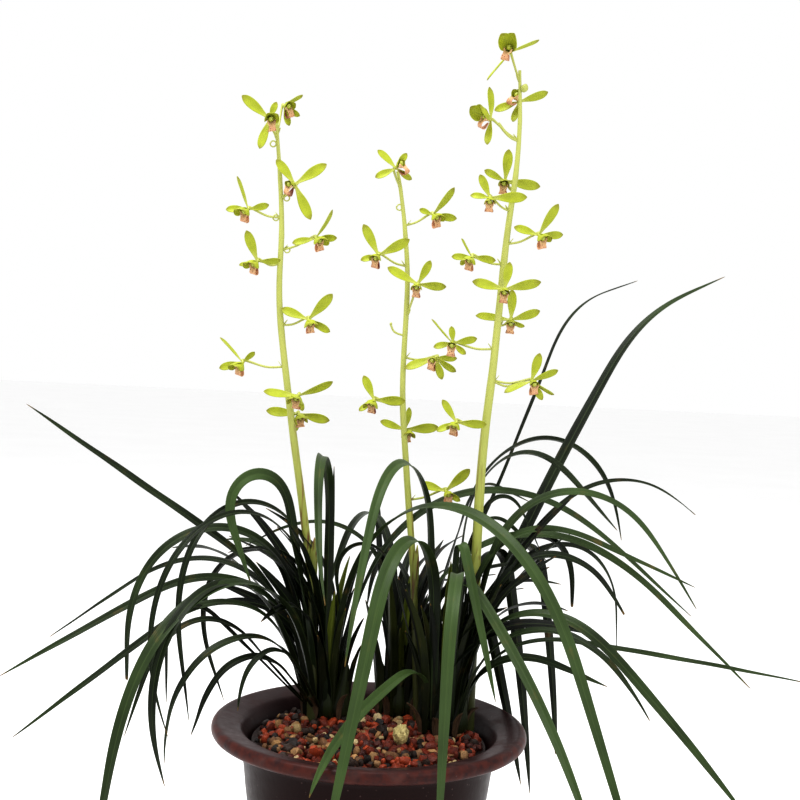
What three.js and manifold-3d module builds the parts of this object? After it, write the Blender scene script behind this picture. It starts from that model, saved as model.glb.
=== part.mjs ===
// A potted orchid: a slender-leaved Cymbidium in a wide-rimmed glazed pot.
// Millimetres and degrees, +Z up, origin at the centre of the pot's flat base.
// Three shoots stand in the potting gravel. Each carries a fan of arching strap leaves, and beside each
// one rises a flower spike, with its flowers on short stalks of their own.

import * as THREE from "three";
import { mergeVertices } from "three/addons/utils/BufferGeometryUtils.js";
import Module from "manifold-3d";

const wasm = await Module();
wasm.setup();

// ---------------------------------------------------------------- driving sizes

const gap = 0.3; // between any two pieces that touch
const pot = {
  height: 185,
  rimRadius: 120,
  mouthRadius: 97,
  neckRadius: 97,
  baseRadius: 74,
  rimDepth: 13,
  wall: 7,
  floor: 9,
  drainRadius: 6,
  drainRing: 34,
};
const gravelDepth = 12; // from the top of the rim down to the gravel
const gravelTop = pot.height - gravelDepth;
const stone = { width: 11.2, length: 17, height: 15.2, turn: 14, x: 24, y: -22 };
const bulb = { lean: 8, youngScale: 0.8 };
const leafRootHeight = 12; // above the gravel, among the sheaths
const leafThickness = 1.5;
const leafSteps = 14;
const sepalWidth = 6.4;
const tepalThickness = 1.2;
const petal = { length: 14, width: 8.4 };
const lip = { length: 12.5, width: 8 };
const lookForward = 11; // how far in front of its middle a flower looks at its lip's tip
const columnRadius = 2.6;
const columnStart = 1.2; // where the blades leave the flower's middle
const stalkRadius = 1;
const stalkSag = 2;

const finishes = {
  glaze: { color: 0x4a3236, roughness: 0.35 },
  gravel: { color: 0x8a3c20, roughness: 0.9 },
  pumice: { color: 0xc4b078, roughness: 0.85 },
  sheath: { color: 0x6b7d34, roughness: 0.6 },
  leaf: { color: 0x2c4a20, roughness: 0.45 },
  spike: { color: 0xc9d27a, roughness: 0.5 },
  petal: { color: 0xb4c23c, roughness: 0.55 },
};

// ---------------------------------------------------------------- the plant's growth tables

// Where each shoot stands on the gravel.
const shoots = {
  left: { x: -36, y: 42 },
  right: { x: 56, y: 12 },
  rear: { x: 22, y: 58 },
};

// A leaf leaves its shoot at foot, measured from the shoot's middle, and grows towards heading
// (0 is +X, 90 is +Y), swinging sideways by swing on its way. It climbs at rise, bends between the shares
// start and end of its length, and points at fall after that.
function leafRow(shoot, foot, heading, swing, rise, fall, start, end, length, width) {
  return { shoot, foot, heading, swing, rise, fall, start, end, length, width };
}

const leaves = [
  leafRow("left", [-16, 6], 195, 0, 80, 34, 0, 0.52, 335, 9),
  leafRow("left", [-14, -2], 196, 4, 83, -92, 0.14, 0.96, 330, 9),
  leafRow("left", [-8, -5], 243, -50, 76, -110, 0.52, 0.86, 305, 9),
  leafRow("left", [-19, 2], 190, 16, 87, -28, 0, 0.66, 315, 8),
  leafRow("left", [-9, -12], 242, -24, 73, -80, 0, 0.8, 425, 11),
  leafRow("left", [-15, -8], 241, -50, 67, -90, 0, 1, 220, 8),
  leafRow("left", [-1, -9], 244, 40, 88, -40, 0.32, 0.76, 390, 9),
  leafRow("left", [6, 3], 5, -6, 79, -40, 0.1, 0.84, 430, 8),
  leafRow("left", [5, -6], -50, 10, 86, -66, 0.02, 0.76, 550, 11),
  leafRow("right", [-6, -2], 228, 32, 83, -60, 0.32, 0.78, 405, 9),
  leafRow("right", [-9, -8], -115, -2, 87, -68, 0.18, 0.6, 420, 12),
  leafRow("right", [0, -12], -83, -28, 66, -88, 0.22, 0.7, 385, 10),
  leafRow("right", [8, -9], -36, -42, 89, -40, 0.28, 0.34, 355, 9),
  leafRow("right", [14, -5], -20, -26, 89, -40, 0, 0.6, 335, 9),
  leafRow("right", [9, -1], 5, -10, 80, -56, 0.28, 0.88, 355, 8),
  leafRow("right", [8, 4], 31, 8, 89, -38, 0.32, 0.82, 375, 8),
  leafRow("right", [4, 9], 50, -38, 59, 26, 0.68, 0.94, 465, 11),
  leafRow("right", [11, 11], 50, 20, 79, -68, 0.22, 0.46, 410, 10),
  leafRow("rear", [3, 2], 15, 32, 66, 16, 0.66, 0.9, 460, 4),
  leafRow("rear", [6, -3], 28, -12, 73, -78, 0.36, 1, 390, 8),
  leafRow("rear", [-5, 4], 100, 25, 82, -60, 0.2, 0.8, 330, 9),
];

// A spike's route from the gravel to its tip, and its radius at both ends. A flower's stalk leaves the
// spike at height at and reaches to the flower's middle. Each sepal is given by where its tip lies from
// there, sideways and upwards, and by how far its face is turned from the front. lip is where the lip's
// tip lies, which is also where the flower looks, and hood is the size of the two petals over it.
const spikes = {
  left: {
    route: [
      [-46, 32],
      [-49, 35, 265],
      [-59, 37, 332],
      [-74, 38, 418],
      [-86, 38, 500],
      [-87, 38, 560],
      [-90, 38, 600],
      [-95, 38, 645],
    ],
    radius: [3.9, 1.3],
    flowers: [
      {
        at: 632,
        reach: [-6, -9, 13],
        sepals: [[-22, 16, 10], [-6, -24, 20], [5, 13, 0]],
        lip: [3, -5],
        hood: 1,
      },
      {
        at: 637,
        reach: [4, 8, 22],
        sepals: [[13, 11, 70], [13, -7, 30], [5, -15, 20]],
        lip: [8, -5],
        hood: 0.8,
      },
      {
        at: 585,
        reach: [11, -9, 10],
        sepals: [[-15, 19, 20], [24, 17, 0], [14, -27, 10]],
        lip: [-8, -5],
        hood: 0.6,
      },
      {
        at: 568,
        reach: [-26, -3, 5],
        sepals: [[-11, 25, 75], [-18, 0, 15], [16, 4, 15]],
        lip: [-5, -9],
        hood: 1,
      },
      {
        at: 544,
        reach: [27, -3, 10],
        sepals: [[14, 22, 75], [-18, -5, 20], [17, 1, 15]],
        lip: [7, -9],
        hood: 1,
      },
      {
        at: 530,
        reach: [-17, -8, 1],
        sepals: [[-10, 23, 15], [-13, -6, 40], [18, 1, 40]],
        lip: [-5, -10],
        hood: 1,
      },
      {
        at: 483,
        reach: [22, -8, 5],
        sepals: [[18, 21, 15], [-22, 8, 15], [18, -8, 20]],
        lip: [4, -11],
        hood: 1,
      },
      {
        at: 456,
        reach: [-33, -3, 2],
        sepals: [[-19, 19, 80], [-19, -5, 15], [8, 10, 30]],
        lip: [-5, -10],
        hood: 1,
      },
      {
        at: 428,
        reach: [8, -12, 4],
        sepals: [[-27, 0, 40], [27, 11, 45], [4, -12, 0]],
        lip: [-2, -8],
        hood: 1.1,
      },
      {
        at: 420,
        reach: [6, 12, -3],
        sepals: [[-26, 1, 20], [25, -4, 15], [-2, -14, 30]],
        lip: [3, -9],
        hood: 1,
      },
    ],
  },
  middle: {
    route: [
      [38, 44],
      [30, 46, 286],
      [20, 46, 375],
      [14, 46, 440],
      [14, 46, 520],
      [10, 46, 565],
      [5, 46, 597],
      [2, 46, 611],
    ],
    radius: [3.1, 1.2],
    flowers: [
      {
        at: 599,
        reach: [-4, -9, 13],
        sepals: [[-15, 14, 30], [-16, -8, 10], [13, -8, 30], [8, 12, 0]],
        lip: [9, 4],
        hood: 0.6,
      },
      {
        at: 569,
        reach: [22, -3, 9],
        sepals: [[16, 22, 50], [-11, 4, 0], [19, -2, 15]],
        lip: [6, -9],
        hood: 0.9,
      },
      {
        at: 537,
        reach: [-23, -8, 7],
        sepals: [[-14, 23, 20], [24, 13, 15], [-14, -5, 15]],
        lip: [-4, -9],
        hood: 0.8,
      },
      {
        at: 502,
        reach: [8, -11, 24],
        sepals: [[9, 19, 15], [22, -2, 20], [-25, 11, 25]],
        lip: [-2, -9],
        hood: 0.8,
      },
      {
        at: 460,
        reach: [25, -8, 1],
        sepals: [[-24, -9, 30], [17, 1, 25], [17, -10, 35], [6, -17, 0]],
        lip: [-5, -8],
        hood: 0.5,
      },
      {
        at: 429,
        reach: [-23, -8, 3],
        sepals: [[-9, 19, 10], [25, 1, 15], [-11, -10, 30]],
        lip: [-3, -10],
        hood: 1,
      },
      {
        at: 416,
        reach: [2, 12, -8],
        sepals: [[3, 18, 35], [-21, 5, 30], [27, 3, 10]],
        lip: [3, -9],
        hood: 1,
      },
      {
        at: 354,
        reach: [29, -8, 9],
        sepals: [[18, 19, 10], [-20, 5, 15], [12, -7, 20]],
        lip: [4, -8],
        hood: 0.7,
      },
    ],
  },
  right: {
    route: [
      [78, 24],
      [77, 20, 300],
      [78, 18, 390],
      [83, 16, 465],
      [88, 16, 555],
      [93, 16, 610],
      [94, 16, 650],
      [92, 16, 688],
    ],
    radius: [4.4, 1.1],
    flowers: [
      {
        at: 680,
        reach: [-9, -8, 19],
        sepals: [[20, 12, 80], [-17, -22, 80]],
        lip: [-3, 1],
        hood: 1.25,
      },
      {
        at: 656,
        reach: [0, 12, 9],
        sepals: [[22, 8, 40], [-19, -8, 15], [-3, -17, 25]],
        lip: [-6, 6],
        hood: 0.7,
      },
      {
        at: 634,
        reach: [-23, -8, 13],
        sepals: [[-1, 25, 45], [-1, -20, 35]],
        lip: [-13, -1],
        hood: 1.25,
      },
      {
        at: 596,
        reach: [-6, 11, 9],
        sepals: [[2, 25, 5], [-17, 7, 10], [28, -3, 10]],
        lip: [-2, -8],
        hood: 0.8,
      },
      {
        at: 579,
        reach: [-17, -11, 8],
        sepals: [[-9, 17, 5], [-15, 2, 20], [28, 2, 10]],
        lip: [-1, -11],
        hood: 0.8,
      },
      {
        at: 553,
        reach: [24, -8, 7],
        sepals: [[12, 25, 30], [-19, 6, 10], [19, 1, 15]],
        lip: [5, -9],
        hood: 0.9,
      },
      {
        at: 538,
        reach: [-25, -8, 4],
        sepals: [[-11, 12, 70], [-16, -1, 15], [18, -1, 20]],
        lip: [-5, -11],
        hood: 1,
      },
      {
        at: 511,
        reach: [2, -12, 8],
        sepals: [[3, 21, 5], [-25, 5, 15], [27, 8, 25]],
        lip: [-1, -8],
        hood: 0.8,
      },
      {
        at: 488,
        reach: [11, 8, 5],
        sepals: [[0, 24, 10], [-28, 2, 40], [22, 8, 20], [10, -6, 40]],
        lip: [-1, -10],
        hood: 0.7,
      },
      {
        at: 446,
        reach: [30, -8, 1],
        sepals: [[5, 22, 5], [19, 11, 35], [18, -9, 70], [-21, -8, 50], [9, -14, 0]],
        lip: [3, -7],
        hood: 0.6,
      },
      {
        at: 473,
        reach: [-33, -8, 3],
        sepals: [[-19, 16, 80], [-2, 13, 0], [18, 5, 20], [-15, -3, 20], [10, -8, 15]],
        lip: [-2, -6],
        hood: 0.6,
      },
      {
        at: 410,
        reach: [-23, -8, 3],
        sepals: [[-13, 16, 30], [23, -1, 20], [-15, -8, 30]],
        lip: [-4, -9],
        hood: 0.9,
      },
    ],
  },
};

// ---------------------------------------------------------------- geometry helpers

const radians = THREE.MathUtils.degToRad;
const mix = THREE.MathUtils.lerp;
const smoothstep = THREE.MathUtils.smoothstep;

// Turns a closed geometry into a manifold-3d solid.
function solidFrom(geometry) {
  const bare = new THREE.BufferGeometry();
  bare.setAttribute("position", geometry.getAttribute("position"));
  bare.setIndex(geometry.index);
  const merged = mergeVertices(bare, 1e-3);
  return new wasm.Manifold(
    new wasm.Mesh({
      numProp: 3,
      vertProperties: merged.attributes.position.array,
      triVerts: new Uint32Array(merged.index.array),
    }),
  );
}

// Turns a solid back into a geometry.
function geometryFrom(solid) {
  const mesh = solid.getMesh();
  const geometry = new THREE.BufferGeometry();
  geometry.setAttribute("position", new THREE.BufferAttribute(mesh.vertProperties, 3));
  geometry.setIndex(new THREE.BufferAttribute(mesh.triVerts, 1));
  geometry.computeVertexNormals();
  return geometry;
}

// Revolves an outline of [radius, height] points about +Z.
function turned(outline, segments) {
  const points = outline.map(([radius, height]) => new THREE.Vector2(radius, height));
  return new THREE.LatheGeometry(points, segments).rotateX(Math.PI / 2);
}

// A closed column along +Y whose points are moved by place(share of length, across, up).
function shapedColumn(sides, steps, place) {
  const geometry = new THREE.CylinderGeometry(1, 1, 1, sides, steps);
  const position = geometry.attributes.position;
  for (let i = 0; i < position.count; i += 1) {
    const spot = place(position.getY(i) + 0.5, position.getX(i), position.getZ(i));
    position.setXYZ(i, spot.x, spot.y, spot.z);
  }
  return geometry;
}

// A round stem along a curve, thinning from its first radius to its last.
function taperedStem(curve, sides, steps, firstRadius, lastRadius) {
  const frames = curve.computeFrenetFrames(steps, false);
  return shapedColumn(sides, steps, (share, across, up) => {
    const index = Math.round(share * steps);
    const radius = mix(firstRadius, lastRadius, share);
    return curve
      .getPointAt(index / steps)
      .addScaledVector(frames.normals[index], across * radius)
      .addScaledVector(frames.binormals[index], -up * radius);
  });
}

// ---------------------------------------------------------------- pot, gravel and stone

// The inside wall's radius at a height below the mouth.
function insideRadius(height) {
  const neckHeight = pot.height - pot.rimDepth;
  return mix(pot.baseRadius, pot.neckRadius, height / neckHeight) - pot.wall;
}

function potGeometry() {
  const { height, rimRadius, mouthRadius, neckRadius, baseRadius, rimDepth, floor } = pot;
  const outline = new THREE.Path();
  outline.moveTo(0, 0);
  outline.lineTo(baseRadius - 3, 0);
  outline.quadraticCurveTo(baseRadius, 0, baseRadius + 0.4, 3);
  outline.lineTo(neckRadius - 0.6, height - rimDepth - 8);
  outline.quadraticCurveTo(neckRadius + 1, height - rimDepth, rimRadius - 8, height - rimDepth + 1);
  outline.quadraticCurveTo(rimRadius + 0.5, height - rimDepth + 2.5, rimRadius, height - 5);
  outline.quadraticCurveTo(rimRadius - 0.5, height + 1, rimRadius - 7, height - 0.6);
  outline.quadraticCurveTo(mouthRadius + 6, height - 2.5, mouthRadius + 2, height - 4);
  outline.quadraticCurveTo(mouthRadius, height - 5, mouthRadius - 1.5, height - 9);
  outline.lineTo(insideRadius(height - 26), height - 26);
  outline.lineTo(insideRadius(floor), floor);
  outline.lineTo(0, floor);
  let solid = solidFrom(turned(outline.getPoints(2).map((p) => [p.x, p.y]), 44));
  for (let i = 0; i < 3; i += 1) {
    const angle = radians(90 + 120 * i);
    const drain = new THREE.CylinderGeometry(pot.drainRadius, pot.drainRadius, 3 * floor, 12)
      .rotateX(Math.PI / 2)
      .translate(pot.drainRing * Math.cos(angle), pot.drainRing * Math.sin(angle), 0);
    solid = solid.subtract(solidFrom(drain));
  }
  return geometryFrom(solid);
}

function gravelGeometry() {
  const bottom = pot.floor + gap;
  const bend = pot.height - 26;
  return turned(
    [
      [0, bottom],
      [insideRadius(bottom) - gap, bottom],
      [insideRadius(bend) - gap, bend],
      [mix(insideRadius(bend), pot.mouthRadius - 1.5, 0.75) - 2 * gap, gravelTop - 0.8],
      [60, gravelTop],
      [0, gravelTop],
    ],
    40,
  );
}

// One elongated lump of pale pumice, lying on the gravel in front of the shoots.
function stoneGeometry() {
  const lumpiness = 0.12;
  const lump = new THREE.IcosahedronGeometry(1, 2);
  const position = lump.attributes.position;
  for (let i = 0; i < position.count; i += 1) {
    const [x, y, z] = [position.getX(i), position.getY(i), position.getZ(i)];
    const swell = 1 + lumpiness * (0.6 * Math.sin(7 * x + 2) * Math.cos(5 * y) + 0.4 * Math.sin(9 * z));
    position.setXYZ(i, x * swell, y * swell, z * swell);
  }
  const rest = (stone.height / 2) * (1 + lumpiness) + gap;
  return lump
    .scale(stone.width / 2, stone.length / 2, stone.height / 2)
    .rotateZ(radians(stone.turn))
    .translate(stone.x, stone.y, gravelTop + rest);
}

// ---------------------------------------------------------------- shoots and leaves

// A flattened bulb with its neck of sheathing leaf bases, and two younger bulbs beside it.
function shootGeometry(shoot, swell) {
  const bulbs = [
    { x: 0, y: 0, scale: 1, lean: 0 },
    { x: -10, y: 3, scale: bulb.youngScale, lean: -bulb.lean },
    { x: 10, y: -2, scale: bulb.youngScale, lean: bulb.lean },
  ];
  const outline = [[0, 0], [8, 0], [11.5, 8], [10.5, 18], [7.5, 30], [5.5, 44], [2, 56], [0, 57]];
  const solids = bulbs.map(({ x, y, scale, lean }) => {
    const swollen = outline.map(([radius, height]) => [
      radius ? radius * scale + swell : 0,
      height * scale + (height ? swell : 0),
    ]);
    const tippedFoot = 1.3 * scale * outline[1][0] * Math.abs(Math.sin(radians(lean)));
    const turnedBulb = turned(swollen, 10)
      .rotateY(radians(lean))
      .translate(shoot.x + x, shoot.y + y, gravelTop + gap + tippedFoot);
    return solidFrom(turnedBulb);
  });
  return wasm.Manifold.union(solids);
}

// The leaf's spine, as stations with a point, the way along and the way up from the blade.
function leafSpine(leaf) {
  const shoot = shoots[leaf.shoot];
  const point = new THREE.Vector3(shoot.x + leaf.foot[0], shoot.y + leaf.foot[1], gravelTop + leafRootHeight);
  const stations = [];
  const walks = 6; // short walks between two stations
  for (let step = 0; step <= leafSteps * walks; step += 1) {
    const share = step / (leafSteps * walks);
    const bent = smoothstep(share, leaf.start, leaf.end);
    const climb = radians(mix(leaf.rise, leaf.fall, bent));
    const heading = radians(leaf.heading + leaf.swing * share);
    const along = new THREE.Vector3(
      Math.cos(climb) * Math.cos(heading),
      Math.cos(climb) * Math.sin(heading),
      Math.sin(climb),
    );
    const across = new THREE.Vector3(Math.sin(heading), -Math.cos(heading), 0);
    if (step % walks === 0) {
      const up = new THREE.Vector3().crossVectors(across, along);
      stations.push({ point: point.clone(), across, up });
    }
    point.addScaledVector(along, leaf.length / (leafSteps * walks));
  }
  return stations;
}

// The share of its full width that a leaf has at a share of its length: a narrow base and a long point.
function leafBreadth(share) {
  return Math.min(1, 0.6 + 1.4 * share) * Math.max(0.05, 1 - share ** 3.5);
}

function leafGeometry(leaf, swell) {
  const stations = leafSpine(leaf);
  return shapedColumn(4, leafSteps, (share, across, up) => {
    const { point, across: side, up: rise } = stations[Math.round(share * leafSteps)];
    const halfWidth = (leaf.width / 2) * leafBreadth(share) + swell;
    const keel = (leafThickness / 2) * mix(1, 0.4, share) + swell;
    const edgeLift = mix(0.45, 0.2, share) * halfWidth * Math.abs(across);
    return point
      .clone()
      .addScaledVector(side, across * halfWidth)
      .addScaledVector(rise, up * keel + edgeLift);
  });
}

// ---------------------------------------------------------------- spikes and flowers

function spikeCurve(spike) {
  const points = spike.route.map(([x, y, z]) => new THREE.Vector3(x, y, z ?? gravelTop + gap));
  return new THREE.CatmullRomCurve3(points);
}

function spikeGeometry(spike, swell) {
  const [foot, tip] = spike.radius;
  return taperedStem(spikeCurve(spike), 6, 24, foot + swell, tip + swell);
}

// The point of a spike at a height, and how far up the spike that is.
function spikeAt(spike, height) {
  const curve = spikeCurve(spike);
  let low = 0;
  let high = 1;
  for (let i = 0; i < 30; i += 1) {
    const middle = (low + high) / 2;
    if (curve.getPointAt(middle).z < height) low = middle;
    else high = middle;
  }
  return { point: curve.getPointAt(low), share: low };
}

// A petal-like blade from the flower's middle. Its tip is pointed, and it curls towards up.
function bladeGeometry({ along, up, length, width, curl }, swell) {
  const steps = 3;
  const way = along.clone().normalize();
  const side = new THREE.Vector3().crossVectors(way, up).normalize();
  const rise = new THREE.Vector3().crossVectors(side, way);
  return shapedColumn(3, steps, (share, across, high) => {
    const breadth = Math.sin(Math.PI * (0.08 + 0.84 * share));
    return new THREE.Vector3()
      .addScaledVector(way, mix(columnStart, length, share))
      .addScaledVector(side, across * ((width / 2) * breadth + swell))
      .addScaledVector(rise, high * (tepalThickness / 2 + swell) + curl * share * share * length);
  });
}

// The blades of a flower: its sepals, the two petals that hood its column, and its lip.
function flowerBlades(flower) {
  const [lipSide, lipRise] = flower.lip;
  const face = new THREE.Vector3(lipSide, -lookForward, lipRise).normalize();
  const side = new THREE.Vector3().crossVectors(face, new THREE.Vector3(0, 0, 1)).normalize();
  const top = new THREE.Vector3().crossVectors(side, face);
  const blend = (f, t, s) =>
    new THREE.Vector3().addScaledVector(face, f).addScaledVector(top, t).addScaledVector(side, s);

  const sepals = flower.sepals.map(([x, z, turn]) => {
    const along = new THREE.Vector3(x, -1, z);
    const up = new THREE.Vector3(0, -1, 0).applyAxisAngle(along.clone().normalize(), radians(turn));
    return { along, up, length: along.length(), width: sepalWidth, curl: 0 };
  });
  const petals = [-1, 1].map((hand) => ({
    along: blend(0.75, 0.62, 0.42 * hand),
    up: blend(0.5, -1, -0.9 * hand),
    length: petal.length * flower.hood,
    width: petal.width * flower.hood,
    curl: 0.2,
  }));
  const tongue = {
    along: new THREE.Vector3(1.3 * lipSide, -7, lipRise - 3),
    up: blend(1, 0.6, 0),
    length: lip.length,
    width: lip.width,
    curl: -0.2,
  };
  return [...sepals, ...petals, tongue];
}

function flowerGeometry(spike, flower, swell) {
  const joint = spikeAt(spike, flower.at);
  const middle = joint.point.clone().add(new THREE.Vector3(...flower.reach));
  const column = new THREE.SphereGeometry(columnRadius + swell, 6, 4).scale(1, 1.5, 1);
  const parts = [...flowerBlades(flower).map((blade) => bladeGeometry(blade, swell)), column];
  const solids = parts.map((part) => solidFrom(part.translate(middle.x, middle.y, middle.z)));

  const stemRadius = mix(spike.radius[0], spike.radius[1], joint.share) + gap;
  const outward = new THREE.Vector3(flower.reach[0], flower.reach[1], 0).normalize();
  const foot = joint.point.clone().addScaledVector(outward, stemRadius + 0.2);
  const elbow = foot.clone().lerp(middle, 0.5).add(new THREE.Vector3(0, 0, -stalkSag));
  const stalk = new THREE.QuadraticBezierCurve3(foot, elbow, middle);
  solids.push(solidFrom(taperedStem(stalk, 4, 3, stalkRadius + swell, stalkRadius + swell)));
  return wasm.Manifold.union(solids);
}

// ---------------------------------------------------------------- the assembly

const plant = new THREE.Group();
const placed = []; // the swollen outline of each piece so far, which later pieces give way to

function boxesMeet(a, b) {
  return [0, 1, 2].every((axis) => a.min[axis] <= b.max[axis] && b.min[axis] <= a.max[axis]);
}

// Adds a piece, cut back from the pieces before it. make(swell) gives it grown by swell all round.
function addPiece(name, finish, make) {
  let solid = make(0);
  for (const other of placed) {
    if (boxesMeet(other.boundingBox(), solid.boundingBox())) solid = solid.subtract(other);
  }
  const bodies = solid.decompose();
  const largest = bodies.reduce((best, body) => (body.volume() > best.volume() ? body : best));
  placed.push(make(gap));
  const mesh = new THREE.Mesh(geometryFrom(largest), new THREE.MeshStandardMaterial(finishes[finish]));
  mesh.name = name;
  plant.add(mesh);
}

function addPlain(name, finish, geometry) {
  const mesh = new THREE.Mesh(geometry, new THREE.MeshStandardMaterial(finishes[finish]));
  mesh.name = name;
  plant.add(mesh);
}

addPlain("pot", "glaze", potGeometry());
addPlain("potting_gravel", "gravel", gravelGeometry());
addPlain("pumice_stone", "pumice", stoneGeometry());

for (const [side, shoot] of Object.entries(shoots)) {
  addPiece(`${side}_shoot`, "sheath", (swell) => shootGeometry(shoot, swell));
}
for (const [side, spike] of Object.entries(spikes)) {
  addPiece(`${side}_flower_spike`, "spike", (swell) => solidFrom(spikeGeometry(spike, swell)));
}
const leafCounts = { left: 0, right: 0, rear: 0 };
for (const leaf of leaves) {
  leafCounts[leaf.shoot] += 1;
  const name = `${leaf.shoot}_leaf_${leafCounts[leaf.shoot]}`;
  addPiece(name, "leaf", (swell) => solidFrom(leafGeometry(leaf, swell)));
}
for (const [side, spike] of Object.entries(spikes)) {
  spike.flowers.forEach((flower, index) => {
    addPiece(`${side}_flower_${index + 1}`, "petal", (swell) => flowerGeometry(spike, flower, swell));
  });
}

export default plant;
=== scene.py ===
"""A potted slender-leaved orchid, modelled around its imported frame.

The pot, gravel, shoots, leaves, flower spikes and flowers are classes of their own. Lengths in the tables
are millimetres and angles are degrees; every finished mesh is in metres, in the frame's own space, with
its object at the origin.
"""

from __future__ import annotations

import logging
import math
import random
from contextlib import contextmanager
from dataclasses import dataclass, field
from enum import Enum
from typing import Callable, Iterator, Sequence

import bmesh
import bpy
from mathutils import Euler, Matrix, Vector, noise

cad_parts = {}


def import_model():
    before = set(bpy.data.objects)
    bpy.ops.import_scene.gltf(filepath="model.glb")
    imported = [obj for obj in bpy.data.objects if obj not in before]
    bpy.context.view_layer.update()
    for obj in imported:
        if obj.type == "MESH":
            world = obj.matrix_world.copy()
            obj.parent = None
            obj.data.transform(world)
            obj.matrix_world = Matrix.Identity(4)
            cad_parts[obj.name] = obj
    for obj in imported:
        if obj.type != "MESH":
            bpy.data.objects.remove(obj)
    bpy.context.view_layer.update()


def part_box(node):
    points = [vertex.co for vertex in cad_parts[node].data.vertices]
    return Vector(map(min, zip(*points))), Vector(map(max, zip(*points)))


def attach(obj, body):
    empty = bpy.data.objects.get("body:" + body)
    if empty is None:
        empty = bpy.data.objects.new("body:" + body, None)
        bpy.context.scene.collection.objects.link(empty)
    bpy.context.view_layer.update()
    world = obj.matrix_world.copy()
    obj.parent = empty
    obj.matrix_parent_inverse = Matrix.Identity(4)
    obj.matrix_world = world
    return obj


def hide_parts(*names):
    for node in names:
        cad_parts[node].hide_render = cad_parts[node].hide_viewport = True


log = logging.getLogger("orchid")

MM = 0.001
Colour = tuple[float, float, float]
Point = tuple[float, float]
Place = tuple[float, float, float]


# ---------------------------------------------------------------- numbers and colours


def srgb(red: int, green: int, blue: int) -> Colour:
    """Turns an 8-bit screen colour into the linear colour that shaders take.

    Args:
        red: Red, 0 to 255.
        green: Green, 0 to 255.
        blue: Blue, 0 to 255.

    Returns:
        The linear colour.
    """

    def linear(channel: int) -> float:
        """One channel, linear."""
        share = channel / 255
        return share / 12.92 if share <= 0.04045 else ((share + 0.055) / 1.055) ** 2.4

    return (linear(red), linear(green), linear(blue))


def mix(low: float, high: float, share: float) -> float:
    """The value a share of the way from low to high."""
    return low + (high - low) * share


def smoothstep(value: float, start: float, end: float) -> float:
    """0 before start, 1 after end, with a soft rise between them."""
    share = min(1.0, max(0.0, (value - start) / max(end - start, 1e-6)))
    return share * share * (3 - 2 * share)


# ---------------------------------------------------------------- shaders


class Value:
    """A shader socket that carries one number, so that sums on it are written as sums."""

    def __init__(self, shader: "Shader", socket: bpy.types.NodeSocket) -> None:
        """Wraps a socket of a shader."""
        self.shader = shader
        self.socket = socket

    def _maths(self, operation: str, first: "Value | float", second: "Value | float") -> "Value":
        """Adds a Math node and wraps its result."""
        node = self.shader.node("ShaderNodeMath", {"operation": operation}, {0: first, 1: second})
        return Value(self.shader, node.outputs[0])

    def __add__(self, other: "Value | float") -> "Value":
        """The sum."""
        return self._maths("ADD", self, other)

    __radd__ = __add__

    def __sub__(self, other: "Value | float") -> "Value":
        """The difference."""
        return self._maths("SUBTRACT", self, other)

    def __rsub__(self, other: float) -> "Value":
        """The difference, the other way round."""
        return self._maths("SUBTRACT", other, self)

    def __mul__(self, other: "Value | float") -> "Value":
        """The product."""
        return self._maths("MULTIPLY", self, other)

    __rmul__ = __mul__

    def power(self, exponent: float) -> "Value":
        """The value raised to a power."""
        return self._maths("POWER", self, exponent)

    def absolute(self) -> "Value":
        """The value without its sign."""
        return self._maths("ABSOLUTE", self, 0.0)

    def clear(self, start: float, end: float) -> "Value":
        """0 up to start and 1 from end, with a soft rise between them.

        Args:
            start: Where the rise starts.
            end: Where it ends.

        Returns:
            The new value.
        """
        node = self.shader.node(
            "ShaderNodeMapRange",
            {"interpolation_type": "SMOOTHSTEP"},
            {"Value": self, "From Min": start, "From Max": end},
        )
        return Value(self.shader, node.outputs["Result"])


Input = "Value | bpy.types.NodeSocket | float | Sequence[float]"


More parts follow.
